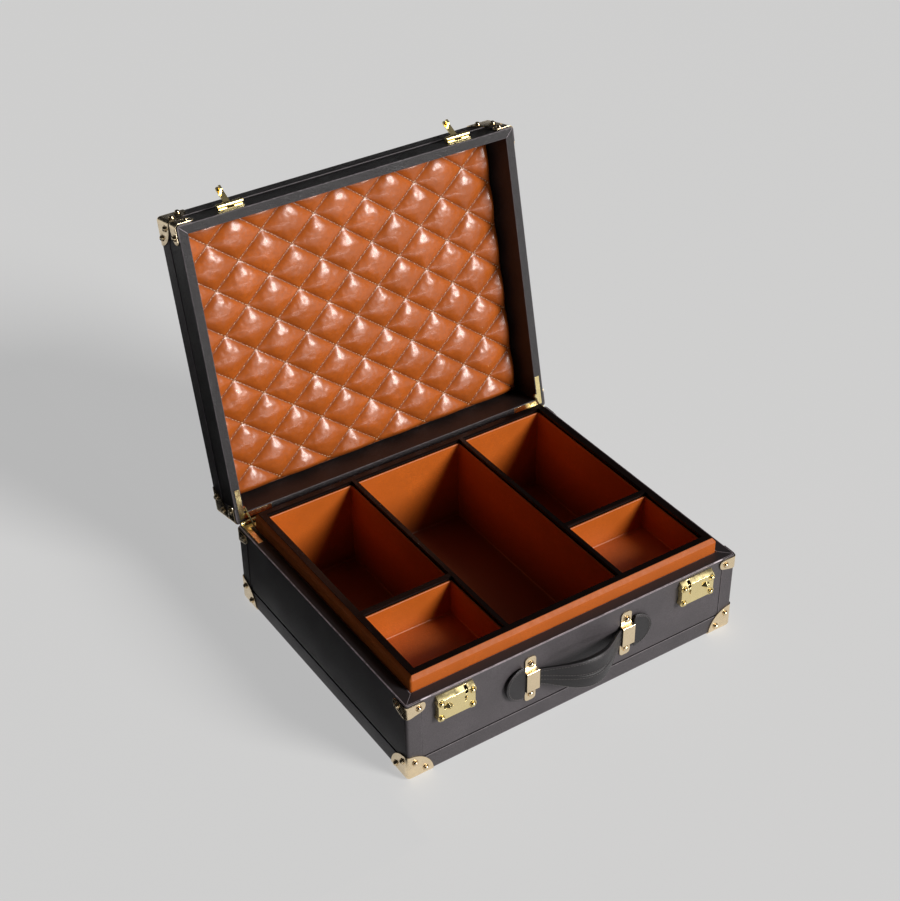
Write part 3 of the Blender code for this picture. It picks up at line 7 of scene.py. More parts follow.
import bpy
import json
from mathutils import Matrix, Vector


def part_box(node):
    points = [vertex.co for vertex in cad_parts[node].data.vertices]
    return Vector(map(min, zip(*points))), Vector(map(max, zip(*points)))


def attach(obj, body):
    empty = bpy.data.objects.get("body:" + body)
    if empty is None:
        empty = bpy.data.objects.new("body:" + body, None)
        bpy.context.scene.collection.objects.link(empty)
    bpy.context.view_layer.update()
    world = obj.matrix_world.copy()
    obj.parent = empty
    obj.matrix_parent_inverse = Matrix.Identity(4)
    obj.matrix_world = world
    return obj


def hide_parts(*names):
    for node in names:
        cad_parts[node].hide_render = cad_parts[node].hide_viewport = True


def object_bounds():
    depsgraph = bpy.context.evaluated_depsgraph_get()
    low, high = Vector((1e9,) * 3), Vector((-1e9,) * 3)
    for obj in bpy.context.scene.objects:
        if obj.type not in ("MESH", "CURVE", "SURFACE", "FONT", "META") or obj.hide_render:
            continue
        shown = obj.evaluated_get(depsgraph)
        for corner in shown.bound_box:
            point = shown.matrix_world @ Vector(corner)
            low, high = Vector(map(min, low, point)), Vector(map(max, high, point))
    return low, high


bl_info = {
    "name": "Leather poker chip case",
    "version": (1, 0, 0),
    "blender": (4, 5, 0),
    "location": "View3D > Sidebar > Chip Case",
    "description": "Builds the leather, quilting, brass and stage of a poker chip case round its frame",
    "category": "Add Mesh",
}

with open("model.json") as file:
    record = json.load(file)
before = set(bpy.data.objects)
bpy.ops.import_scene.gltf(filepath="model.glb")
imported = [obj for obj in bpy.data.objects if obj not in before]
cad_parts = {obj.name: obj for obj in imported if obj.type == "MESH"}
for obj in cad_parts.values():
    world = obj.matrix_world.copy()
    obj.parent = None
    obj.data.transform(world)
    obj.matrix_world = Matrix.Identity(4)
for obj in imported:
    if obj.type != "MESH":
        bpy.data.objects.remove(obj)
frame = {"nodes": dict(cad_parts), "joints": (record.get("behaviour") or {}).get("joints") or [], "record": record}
FRAME_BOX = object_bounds()

import json
import math

import bmesh
import bpy
from bpy.props import FloatProperty, FloatVectorProperty, PointerProperty
from mathutils import Matrix, Vector, noise

WELD = 2e-6
FLAT_ANGLE = math.radians(0.8)
SHARP_ANGLE = math.radians(32.0)
STEEP_ANGLE = math.radians(60.0)

LID_JOINT = next(joint for joint in frame["joints"] if joint["name"] == "lid_hinge")
HINGE = Vector(LID_JOINT["pos_m"])
OPEN_ANGLE = math.radians(LID_JOINT["range_deg"][1])
LID_OPEN = (
    Matrix.Translation(HINGE)
    @ Matrix.Rotation(-OPEN_ANGLE, 4, "X")
    @ Matrix.Translation(-HINGE)
)
LID_SHUT = LID_OPEN.inverted()
SIDES = (("left", -1), ("right", 1))
CORNERS = (
    ("front_left", -1, -1),
    ("front_right", 1, -1),
    ("rear_left", -1, 1),
    ("rear_right", 1, 1),
)


# ------------------------------------------------------------------ settings


def colour_setting(name, description, default):
    """Colour shown in the panel."""
    return FloatVectorProperty(
        name=name, description=description, default=default, subtype="COLOR", min=0.0, max=1.0
    )


def length_setting(name, description, default):
    """Length shown in the panel."""
    return FloatProperty(name=name, description=description, default=default, unit="LENGTH")


class CaseLeather(bpy.types.PropertyGroup):
    """Colours of the leathers and of the painted dividers."""

    dark_colour: colour_setting("Dark leather", "Colour of the outer leather", (0.080, 0.069, 0.075))
    tan_colour: colour_setting(
        "Tan leather", "Colour of the lining and the quilted pad", (0.560, 0.125, 0.014)
    )
    edging_colour: colour_setting(
        "Divider edging", "Colour of the painted divider frame", (0.006, 0.0035, 0.003)
    )


class CaseQuilt(bpy.types.PropertyGroup):
    """Sizes of the quilted pad."""

    half_wide: length_setting(
        "Half diamond width", "Half of a diamond's diagonal across the case", 0.0324
    )
    half_high: length_setting(
        "Half diamond height", "Half of a diamond's diagonal from front to rear of the lid", 0.0259
    )
    puff: length_setting("Puff", "Height of a diamond's crown above its seams", 0.0074)
    pitch: length_setting("Stitch pitch", "Distance from one stitch to the next", 0.0042)


class CaseBrass(bpy.types.PropertyGroup):
    """Colours of the metal."""

    pale_colour: colour_setting(
        "Pale brass", "Colour of the corners, brackets and keepers", (0.960, 0.780, 0.520)
    )
    yellow_colour: colour_setting(
        "Yellow brass", "Colour of the locks, hasps and hinges", (1.000, 0.830, 0.420)
    )


# ------------------------------------------------------------------ node helpers


class Shader:
    """Short way to write a node material."""

    def __init__(self, name):
        self.material = bpy.data.materials.new(name)
        self.material.use_nodes = True
        self.tree = self.material.node_tree
        self.surface = self.tree.nodes["Principled BSDF"]
        self.place = self.add("ShaderNodeTexCoord").outputs["Object"]

    def add(self, kind, **settings):
        node = self.tree.nodes.new(kind)
        for key, value in settings.items():
            setattr(node, key, value)
        return node

    def link(self, start, end):
        self.tree.links.new(start, end)

    def noise(self, scale, detail=3.0, rough=0.55):
        """Noise in object space; scale is in cycles per metre."""
        node = self.add("ShaderNodeTexNoise")
        node.inputs["Scale"].default_value = scale
        node.inputs["Detail"].default_value = detail
        node.inputs["Roughness"].default_value = rough
        self.link(self.place, node.inputs["Vector"])
        return node.outputs["Fac"]

    def cells(self, scale, feature="DISTANCE_TO_EDGE"):
        """Pebbled grain cells in object space."""
        node = self.add("ShaderNodeTexVoronoi", feature=feature)
        node.inputs["Scale"].default_value = scale
        self.link(self.place, node.inputs["Vector"])
        return node.outputs["Distance"]

    def ramp(self, value, start, end, low=0.0, high=1.0):
        """Map value from start..end to low..high."""
        node = self.add("ShaderNodeMapRange")
        node.inputs["From Min"].default_value = start
        node.inputs["From Max"].default_value = end
        node.inputs["To Min"].default_value = low
        node.inputs["To Max"].default_value = high
        self.link(value, node.inputs["Value"])
        return node.outputs["Result"]

    def maths(self, kind, first, second):
        """One Math node; second may be a number."""
        node = self.add("ShaderNodeMath", operation=kind)
        self.link(first, node.inputs[0])
        if isinstance(second, (int, float)):
            node.inputs[1].default_value = second
        else:
            self.link(second, node.inputs[1])
        return node.outputs[0]

    def mix(self, amount, first, second):
        """Mix two colours; each may be an (r, g, b) or a socket."""
        node = self.add("ShaderNodeMix", data_type="RGBA")
        self.link(amount, node.inputs["Factor"])
        for socket, value in ((node.inputs["A"], first), (node.inputs["B"], second)):
            if isinstance(value, tuple):
                socket.default_value = (*value, 1.0)
            else:
                self.link(value, socket)
        return node.outputs["Result"]

    def bump(self, height, strength, distance, below=None):
        """Bump from a height; below chains an earlier bump."""
        node = self.add("ShaderNodeBump")
        node.inputs["Strength"].default_value = strength
        node.inputs["Distance"].default_value = distance
        self.link(height, node.inputs["Height"])
        if below is not None:
            self.link(below, node.inputs["Normal"])
        return node.outputs["Normal"]

    def height(self):
        """Height above the floor the case stands on."""
        split = self.add("ShaderNodeSeparateXYZ")
        self.link(self.place, split.inputs["Vector"])
        return split.outputs["Z"]

    def facing(self):
        """How far the surface faces upwards, from -1 to 1."""
        place = self.add("ShaderNodeTexCoord")
        split = self.add("ShaderNodeSeparateXYZ")
        self.link(place.outputs["Normal"], split.inputs["Vector"])
        return split.outputs["Z"]

    def attribute(self, name):
        """Number stored on the mesh's points."""
        return self.add("ShaderNodeAttribute", attribute_name=name).outputs["Fac"]

    def finish(self, colour=None, roughness=None, normal=None, **fixed):
        """Connect the surface's inputs and set the rest directly."""
        if colour is not None:
            self.link(colour, self.surface.inputs["Base Color"])
        if roughness is not None:
            self.link(roughness, self.surface.inputs["Roughness"])
        if normal is not None:
            self.link(normal, self.surface.inputs["Normal"])
        for key, value in fixed.items():
            self.surface.inputs[key.replace("_", " ")].default_value = value
        return self.material


def shade(colour, factor):
    """Colour made lighter or darker."""
    return tuple(min(1.0, channel * factor) for channel in colour)


# ------------------------------------------------------------------ materials

LINING_LEVELS = (0.008, 0.076)
# Red-brown of the painted highlight on the dividers' top edges.
PAINTED_EDGE_HIGHLIGHT = (0.42, 0.25, 0.20)


def dark_leather(name, colour, grain=950.0, gloss=0.52, relief=0.42, wear_and_highlight_by=5.0):
    """Fine-grained dark leather, pale along its folds with wear and a painted highlight.

    Upward faces are given a darker colour than the leather's own, to deepen their shade.
    """
    tool = Shader(name)
    cells = tool.cells(grain)
    pebbles = tool.ramp(cells, 0.0, 0.32)
    fine = tool.noise(2600.0, 3.0)
    broad = tool.noise(24.0, 4.0)
    tone = tool.mix(tool.ramp(broad, 0.35, 0.65), shade(colour, 0.82), shade(colour, 1.25))
    creased = tool.mix(pebbles, shade(colour, 0.55), tone)
    patches = tool.ramp(tool.noise(160.0, 3.0), 0.30, 0.62, 0.45, 1.0)
    # Marked folds turn pale: partly wear, partly a painted highlight.
    wear = tool.maths("MULTIPLY", tool.attribute("wear"), patches)
    shaded = tool.mix(tool.ramp(tool.facing(), 0.35, 0.85), creased, shade(colour, 0.30))
    worn = tool.mix(wear, shaded, shade(colour, wear_and_highlight_by))
    rough = tool.ramp(broad, 0.3, 0.7, gloss - 0.05, gloss + 0.07)
    pebble_bump = tool.bump(pebbles, relief, 0.00022)
    normal = tool.bump(fine, 0.18, 0.00010, pebble_bump)
    return tool.finish(worn, rough, normal, Specular_IOR_Level=0.5)


def tan_leather(name, colour, gloss=0.36, grain=700.0, strength=0.22, shine=0.5):
    """Smooth tan leather with soft pores.

    Its colour falls off towards the tray floors, to deepen their shade; the leather itself is even.
    """
    tool = Shader(name)
    pores = tool.ramp(tool.cells(grain), 0.0, 0.25)
    fine = tool.noise(1900.0, 3.0)
    broad = tool.noise(30.0, 4.0)
    streak = tool.noise(210.0, 3.0)
    tone = tool.mix(tool.ramp(broad, 0.32, 0.68), shade(colour, 0.86), shade(colour, 1.12))
    mottled = tool.mix(tool.ramp(streak, 0.40, 0.75), tone, shade(colour, 0.90))
    pored = tool.mix(pores, shade(colour, 0.80), mottled)
    rough = tool.ramp(streak, 0.3, 0.7, gloss - 0.05, gloss + 0.06)
    pore_bump = tool.bump(pores, strength, 0.00012)
    normal = tool.bump(fine, strength * 0.6, 0.00008, pore_bump)
    deep = tool.mix(tool.ramp(tool.height(), *LINING_LEVELS), shade(colour, 0.22), pored)
    return tool.finish(deep, rough, normal, Specular_IOR_Level=shine)


def quilted_leather(name, colour):
    """Glossy tan leather of the pad: crowns polished, seams creased, with painted shade along the seams."""
    tool = Shader(name)
    seam = tool.attribute("seam")
    broad = tool.noise(22.0, 4.0)
    streak = tool.noise(260.0, 4.0)
    tone = tool.mix(tool.ramp(broad, 0.32, 0.68), shade(colour, 0.88), shade(colour, 1.14))
    mottled = tool.mix(tool.ramp(streak, 0.42, 0.78), tone, shade(colour, 0.84))
    # Painted shade along the seam valleys.
    seam_shaded = tool.mix(seam, mottled, shade(colour, 0.38))
    rough = tool.ramp(streak, 0.3, 0.7, 0.30, 0.42)
    crease = tool.bump(tool.noise(640.0, 5.0, 0.70), 0.34, 0.00026)
    pores = tool.ramp(tool.cells(820.0), 0.0, 0.22)
    normal = tool.bump(pores, 0.16, 0.00010, crease)
    return tool.finish(seam_shaded, rough, normal, Coat_Weight=0.32, Coat_Roughness=0.20)


def painted_edging(name, colour):
    """Black-brown painted edge of the dividers, with a red-brown painted highlight along their rounded top edges.
    """
    tool = Shader(name)
    broad = tool.noise(60.0, 4.0)
    tone = tool.mix(tool.ramp(broad, 0.35, 0.7), colour, shade(colour, 1.5))
    wear = tool.maths("MULTIPLY", tool.attribute("wear"), tool.ramp(broad, 0.30, 0.6, 0.4, 0.9))
    worn = tool.mix(wear, tone, PAINTED_EDGE_HIGHLIGHT)
    rough = tool.ramp(tool.noise(700.0, 3.0), 0.3, 0.7, 0.16, 0.28)
    normal = tool.bump(tool.noise(900.0, 3.0), 0.12, 0.00010)
    return tool.finish(worn, rough, normal, Specular_IOR_Level=0.22)


def brass(name, colour, gloss=0.20, tint=0.90):
    """Polished plated brass with faint hairlines and darker smudges."""
    tool = Shader(name)
    lines = tool.add("ShaderNodeTexNoise")
    lines.inputs["Scale"].default_value = 900.0
    lines.inputs["Detail"].default_value = 3.0
    stretch = tool.add("ShaderNodeMapping")
    stretch.inputs["Scale"].default_value = (0.08, 1.0, 1.0)
    tool.link(tool.place, stretch.inputs["Vector"])
    tool.link(stretch.outputs["Vector"], lines.inputs["Vector"])
    smudge = tool.noise(140.0, 4.0)
    tone = tool.mix(tool.ramp(smudge, 0.35, 0.7), colour, shade(colour, tint))
    rough = tool.ramp(smudge, 0.3, 0.75, gloss - 0.04, gloss + 0.12)
    normal = tool.bump(lines.outputs["Fac"], 0.05, 0.00006)
    return tool.finish(tone, rough, normal, Metallic=1.0)


def thread(name, colour):
    """Waxed sewing thread with a twisted ply."""
    tool = Shader(name)
    ply = tool.noise(3500.0, 2.0)
    tone = tool.mix(tool.ramp(ply, 0.35, 0.65), shade(colour, 0.72), colour)
    return tool.finish(tone, tool.ramp(ply, 0.3, 0.7, 0.45, 0.65), tool.bump(ply, 0.4, 0.00008))


def fibre_board(name):
    """Matt fibre board behind the pad."""
    tool = Shader(name)
    fibres = tool.noise(800.0, 5.0, 0.7)
    tone = tool.mix(fibres, (0.16, 0.12, 0.08), (0.33, 0.26, 0.18))
    return tool.finish(tone, tool.ramp(fibres, 0.3, 0.7, 0.75, 0.95), tool.bump(fibres, 0.4, 0.0002))


# ------------------------------------------------------------------ mesh helpers


def wear_and_highlight_layer(bm):
    """Point layer that says how pale the leather is along its folds: partly wear, partly a painted highlight."""
    return bm.verts.layers.float.get("wear") or bm.verts.layers.float.new("wear")


def link_piece(name, bm, body, material, replaced=(), lid=False, angle=SHARP_ANGLE):
    """Write a bmesh as a finished piece: placed, shaded, painted and riding on its body."""
    wear_and_highlight_layer(bm)
    if lid:
        bmesh.ops.transform(bm, matrix=LID_OPEN, verts=bm.verts)
    mesh = bpy.data.meshes.new(name)
    bm.to_mesh(mesh)
    bm.free()
    mesh.materials.append(material)
    mesh.shade_smooth()
    mesh.set_sharp_from_angle(angle=angle)
    item = bpy.data.objects.new(name, mesh)
    bpy.context.scene.collection.objects.link(item)
    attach(item, body)
    if replaced:
        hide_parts(*replaced)
    return item


def weighted(item):
    """Keep big flats flat while their rounded edges shade smoothly."""
    step = item.modifiers.new("Weighted normals", "WEIGHTED_NORMAL")
    step.keep_sharp = True
    step.weight = 100
    return item


def node_copy(node):
    """Merged copy of a frame node, its loose triangles joined into whole flats."""
    bm = bmesh.new()
    bm.from_mesh(frame["nodes"][node].data)
    bmesh.ops.remove_doubles(bm, verts=bm.verts, dist=WELD)
    bmesh.ops.dissolve_limit(bm, angle_limit=FLAT_ANGLE, verts=bm.verts, edges=bm.edges)
    return bm


def sharp_edges(bm, angle=math.radians(38.0)):
    """Edges whose faces meet at more than the angle."""
    return [edge for edge in bm.edges if len(edge.link_faces) == 2 and edge.calc_face_angle(0.0) > angle]


def fold_edges(bm, edges, radius, segments=3, clamp=True):
    """Round edges and mark the middle of each fold as pale, for wear and a painted highlight."""
    layer = wear_and_highlight_layer(bm)
    made = bmesh.ops.bevel(
        bm,
        geom=edges,
        offset=radius,
        offset_type="OFFSET",
        segments=segments,
        profile=0.5,
        affect="EDGES",
        clamp_overlap=clamp,
        material=-1,
    )
    folded_faces = {face for face in made["faces"] if face.is_valid}
    for vert in {vert for face in folded_faces for vert in face.verts}:
        if all(face in folded_faces for face in vert.link_faces):
            vert[layer] = 1.0


def bridge(bm, lower, upper, closed=True):
    """Quads between two rows of points."""
    count = len(lower)
    for index in range(count if closed else count - 1):
        following = (index + 1) % count
        bm.faces.new((lower[index], lower[following], upper[following], upper[index]))


def spot(inset, z):
    """Profile point: insets from the sides, the front and the rear, then a height."""
    if isinstance(inset, tuple):
        return Vector((*inset, z))
    return Vector((inset, inset, inset, z))


def toward(start, end):
    """Step of unit size from one profile point towards another."""
    change = end - start
    return change / max(1e-9, max(abs(part) for part in change))


def folded(points, steps=4):
    """Round the corners of a profile; points are (inset, height, fold radius, wear and painted highlight)."""
    rows = []
    last = len(points) - 1
    for index, (inset, z, radius, wear) in enumerate(points):
        here = spot(inset, z)
        if radius <= 0.0 or index in (0, last):
            rows.append((here, 0.0))
            continue
        start = here + toward(here, spot(*points[index - 1][:2])) * radius
        end = here + toward(here, spot(*points[index + 1][:2])) * radius
        for step in range(steps + 1):
            part = step / steps
            place = start.lerp(here, part).lerp(here.lerp(end, part), part)
            rows.append((place, wear * math.sin(math.pi * part)))
    return rows


def box_ring(bm, box, place, corner, wear):
    """Rounded rectangle inside a plan box at one profile point."""
    x0, x1 = box[0] + place[0], box[1] - place[0]
    y0, y1 = box[2] + place[1], box[3] - place[2]
    radius = max(corner - place[0], CORNER_LEAST)
    layer = wear_and_highlight_layer(bm)
    ring = []
    centres = (
        (x1 - radius, y1 - radius, 0.0),
        (x0 + radius, y1 - radius, 90.0),
        (x0 + radius, y0 + radius, 180.0),
        (x1 - radius, y0 + radius, 270.0),
    )
    for x, y, turn in centres:
        for step in range(CORNER_STEPS + 1):
            angle = math.radians(turn + 90.0 * step / CORNER_STEPS)
            vert = bm.verts.new((x + radius * math.cos(angle), y + radius * math.sin(angle), place[3]))
            vert[layer] = wear
            ring.append(vert)
    return ring


def sweep(bm, box, rows, corner, closed=False):
    """Carry a profile round a plan box; an open profile is filled at both ends."""
    rings = [box_ring(bm, box, place, corner, wear) for place, wear in rows]
    for lower, upper in zip(rings[:-1], rings[1:]):
        bridge(bm, lower, upper)
    if closed:
        bridge(bm, rings[-1], rings[0])
    else:
        bm.faces.new(list(reversed(rings[0])))
        bm.faces.new(rings[-1])
    bmesh.ops.recalc_face_normals(bm, faces=bm.faces)


def add_box(bm, low, high):
    """Plain block between two corners."""
    centre = [(a + b) / 2.0 for a, b in zip(low, high)]
    size = [b - a for a, b in zip(low, high)]
    matrix = Matrix.Translation(centre) @ Matrix.Diagonal((*size, 1.0))
    bmesh.ops.create_cube(bm, size=1.0, matrix=matrix)


def loose_object(name, bm):
    """Scene object made from a bmesh."""
    mesh = bpy.data.meshes.new(name)
    bm.to_mesh(mesh)
    bm.free()
    item = bpy.data.objects.new(name, mesh)
    bpy.context.scene.collection.objects.link(item)
    return item


def combined(bm, *steps):
    """Result of exact Boolean steps on a bmesh; each step is (operation, bmesh)."""
    made = [loose_object("boolean_part", bm)]
    for operation, tool in steps:
        cutter = loose_object("boolean_tool", tool)
        made.append(cutter)
        step = made[0].modifiers.new("cut", "BOOLEAN")
        step.operation = operation
        step.solver = "EXACT"
        step.use_self = True
        step.object = cutter
    graph = bpy.context.evaluated_depsgraph_get()
    result = bmesh.new()
    result.from_mesh(made[0].evaluated_get(graph).to_mesh())
    made[0].evaluated_get(graph).to_mesh_clear()
    for item in made:
        mesh = item.data
        bpy.data.objects.remove(item)
        bpy.data.meshes.remove(mesh)
    return result


def spun(bm, profile, steps, matrix):
    """Turn an open profile of (radius, height) pairs right round Z, then place it."""
    rings = []
    for radius, height in profile:
        if radius <= 0.0:
            rings.append([bm.verts.new(matrix @ Vector((0.0, 0.0, height)))])
            continue
        ring = []
        for step in range(steps):
            angle = 2.0 * math.pi * step / steps
            point = Vector((radius * math.cos(angle), radius * math.sin(angle), height))
            ring.append(bm.verts.new(matrix @ point))
        rings.append(ring)
    for lower, upper in zip(rings[:-1], rings[1:]):
        if len(lower) == 1:
            for step in range(steps):
                bm.faces.new((lower[0], upper[(step + 1) % steps], upper[step]))
        elif len(upper) == 1:
            for step in range(steps):
                bm.faces.new((lower[step], lower[(step + 1) % steps], upper[0]))
        else:
            bridge(bm, lower, upper)


def facing(point, direction):
    """Matrix that puts +Z along a direction at a point."""
    turn = Vector((0.0, 0.0, 1.0)).rotation_difference(Vector(direction)).to_matrix().to_4x4()
    return Matrix.Translation(point) @ turn


def add_rivet(bm, point, direction, radius, steps=20):
    """Domed rivet in its ferrule ring."""
    profile = [(r * radius, h * radius) for r, h in RIVET_PROFILE]
    spun(bm, profile, steps, facing(point, direction))


def add_stitch(bm, start, end, lift, radius):
    """One stitch: a short thread that dips into the leather at both ends."""
    along = end - start
    length = along.length
    turn = facing((start + end) / 2.0, along.normalized())
    rows = []
    for fraction, scale, rise in STITCH_ROWS:
        forward = Matrix.Translation((0.0, 0.0, fraction * length))
        place = Matrix.Translation(lift * (radius * rise)) @ turn @ forward
        row = []
        for step in range(STITCH_SIDES):
            angle = 2.0 * math.pi * step / STITCH_SIDES
            local = Vector((math.cos(angle), math.sin(angle), 0.0)) * radius * scale
            row.append(bm.verts.new(place @ local))
        rows.append(row)
    for lower, upper in zip(rows[:-1], rows[1:]):
        bridge(bm, lower, upper)
    bm.faces.new(list(reversed(rows[0])))
    bm.faces.new(rows[-1])


def add_seam(bm, points, lifts, pitch, radius):
    """Stitches along a run of points, with the outward direction at each point."""
    lengths = [0.0]
    for first, second in zip(points[:-1], points[1:]):
        lengths.append(lengths[-1] + (second - first).length)

    def at(distance):
        distance = max(0.0, min(lengths[-1], distance))
        index = 0
        while index < len(points) - 2 and distance > lengths[index + 1]:
            index += 1
        span = max(1e-9, lengths[index + 1] - lengths[index])
        part = (distance - lengths[index]) / span
        return points[index].lerp(points[index + 1], part), lifts[index].lerp(lifts[index + 1], part)

    count = int(lengths[-1] / pitch)
    for index in range(count):
        middle = (index + 0.5) * lengths[-1] / count
        start, lift = at(middle - pitch * STITCH_SHARE / 2.0)
        end = at(middle + pitch * STITCH_SHARE / 2.0)[0]
        if (end - start).length > radius:
            add_stitch(bm, start, end, lift.normalized(), radius)


# ------------------------------------------------------------------ leather halves

RIVET_PROFILE = (
    (0.0, -0.05),
    (1.00, -0.05),
    (1.00, 0.12),
    (0.95, 0.19),
    (0.87, 0.20),
    (0.81, 0.07),
    (0.77, 0.07),
    (0.75, 0.30),
    (0.68, 0.50),
    (0.52, 0.68),
    (0.29, 0.79),
    (0.0, 0.83),
)
STITCH_ROWS = (
    (-0.5, 0.35, -0.7),
    (-0.32, 1.0, 0.4),
    (0.0, 1.1, 0.7),
    (0.32, 1.0, 0.4),
    (0.5, 0.35, -0.7),
)
STITCH_SIDES = 5
STITCH_SHARE = 0.62
CORNER_STEPS = 6
CORNER_LEAST = 0.0004
CASE_CORNER = 0.0034
PANEL_STEP = 0.0006
BINDING_WALL = 0.0013
BINDING_CORNER = 0.0175
BINDING_RISE = {"base": 0.0210, "lid": 0.0205}
SHELL_WALLS = {"base": (0.0149, 0.0146, 0.0121), "lid": (0.0113, 0.0113, 0.0113)}
SHELL_FLOOR = {"base": 0.0056, "lid": 0.0040}
RIM_DROP = 0.00012
RIM_FOLD = 0.0014
RIM_INNER_FOLD = 0.0010
FOOT_FOLD = 0.0030
STRIP_FOLD = 0.0004
BASE_FILL = 0.03
GROOVE_DEEP = 0.0016
GROOVE_WIDE = 0.0013
GROOVE_SLANT = (0.0001, 0.0003)
MITRE_WIDE = 0.0005
MITRE_PROUD = 0.00018
MITRE_INSETS = (0.0022, 0.0008)
# Sizes of the near-black strips beside the corner strips, which stand for the shade in the grooves there.
GROOVE_SHADE_WIDE = 0.0006
GROOVE_SHADE_ENDS = 0.001
GROOVE_GAP = 0.0003
EDGE_CLEAR = 0.0300
EDGE_IN = 0.00042
HINGE_REACH = (0.1754, 0.2066)
HINGE_CLEAR = 0.0029
LEAF_BOXES = ((0.1996, 0.2058, 0.1322, 0.1686), (0.1652, 0.2058, 0.1622, 0.1686))
LEAF_DEEP = 0.00145


class Half:
    """One half of the case, drawn with its outer face at zero height and its rim upwards."""

    def __init__(self, name):
        self.name = name
        lid = name == "lid"
        low, high = shut_box("lid_binding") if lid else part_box("base_binding")
        self.lid = lid
        self.half_x = high[0]
        self.half_y = high[1]
        self.height = high[2] - low[2]
        self.plan = (-self.half_x, self.half_x, -self.half_y, self.half_y)
        if lid:
            flip = Matrix.Diagonal((1.0, 1.0, -1.0, 1.0))
            self.place = Matrix.Translation((0.0, 0.0, high[2])) @ flip
        else:
            self.place = Matrix.Translation((0.0, 0.0, low[2]))

    def settle(self, bm):
        """Move a bmesh from the half's own space to the shut case."""
        bmesh.ops.transform(bm, matrix=self.place, verts=bm.verts)
        if self.lid:
            bmesh.ops.reverse_faces(bm, faces=bm.faces)
        return bm


def hinge_cuts(half):
    """Blocks let into a half for the hinge leaves, knuckles and barrels, in shut space."""
    bm = bmesh.new()
    rim = half.place @ Vector((0.0, 0.0, half.height))
    down = -1.0 if half.name == "base" else 1.0
    spans = sorted((rim.z + down * LEAF_DEEP, rim.z - down * 0.01))
    for side in (-1, 1):
        for x0, x1, y0, y1 in LEAF_BOXES:
            xs = sorted((side * x0, side * x1))
            add_box(bm, (xs[0], y0, spans[0]), (xs[1], y1, spans[1]))
    return bm


def barrel_cuts():
    """Blocks cut from a half round the hinge barrels, in shut space."""
    bm = bmesh.new()
    for side in (-1, 1):
        xs = sorted((side * HINGE_REACH[0], side * HINGE_REACH[1]))
        low = (xs[0], HINGE.y - HINGE_CLEAR, HINGE.z - HINGE_CLEAR)
        add_box(bm, low, (xs[1], HINGE.y + 0.02, HINGE.z + HINGE_CLEAR))
    return bm


def build_shell(half, materials):
    """Board shell covered in dark leather, its rim folded over."""
    bm = bmesh.new()
    wall = SHELL_WALLS[half.name]
    rim = half.height - RIM_DROP
    rise = BINDING_RISE[half.name]
    # The last column marks folds pale, with wear and a painted highlight; the rim's outer fold most.
    rows = folded(
        (
            (BASE_FILL, PANEL_STEP, 0.0, 0.0),
            (PANEL_STEP, PANEL_STEP, FOOT_FOLD, 0.0),
            (PANEL_STEP, rise, 0.0, 0.0),
            (PANEL_STEP + GROOVE_DEEP, rise + GROOVE_SLANT[0], 0.0, 0.0),
            (PANEL_STEP + GROOVE_DEEP, rise + GROOVE_WIDE, 0.0, 0.0),
            (PANEL_STEP, rise + GROOVE_WIDE + GROOVE_SLANT[1], 0.0, 0.0),
            (PANEL_STEP, rim, RIM_FOLD, 1.0),
            (wall, rim, RIM_INNER_FOLD, 0.8),
            (wall, SHELL_FLOOR[half.name], 0.0, 0.0),
        )
    )
    sweep(bm, half.plan, rows, CASE_CORNER)
    half.settle(bm)
    bm = combined(bm, ("DIFFERENCE", hinge_cuts(half)), ("DIFFERENCE", barrel_cuts()))
    name = half.name + "_shell_leather"
    # The lid's shell takes the base's dark leather made darker, as painted shade.
    finish = materials["rim" if half.lid else "dark"]
    replaced = (half.name + "_shell",)
    weighted(link_piece(name, bm, half.name, finish, replaced, half.lid))


def add_corner_strip(bm, half, sx, sy):
    """Upright binding strip round one corner."""
    low = BINDING_RISE[half.name] + GROOVE_GAP
    reach = BINDING_CORNER
    outer = []
    inner = []
    x, y, radius = half.half_x, half.half_y, CASE_CORNER
    for inset, row in ((0.0, outer), (BINDING_WALL, inner)):
        bend = radius - inset
        row.append((x - reach, y - inset))
        for step in range(CORNER_STEPS + 1):
            angle = math.radians(90.0 - 90.0 * step / CORNER_STEPS)
            row.append((x - radius + bend * math.cos(angle), y - radius + bend * math.sin(angle)))
        row.append((x - inset, y - reach))
    outline = outer + list(reversed(inner))
    rows = [[bm.verts.new((sx * px, sy * py, z)) for px, py in outline] for z in (low, half.height)]
    bridge(bm, rows[0], rows[1])
    bm.faces.new(rows[0])
    bm.faces.new(list(reversed(rows[1])))


def add_bar(bm, start, end, wide, high):
    """Thin raised bar between two points of a half's rim or wall."""
    along = end - start
    turn = along.to_track_quat("X", "Z").to_matrix().to_4x4()
    size = Matrix.Diagonal((along.length, wide, high, 1.0))
    matrix = Matrix.Translation((start + end) / 2.0) @ turn @ size
    bmesh.ops.create_cube(bm, size=1.0, matrix=matrix)


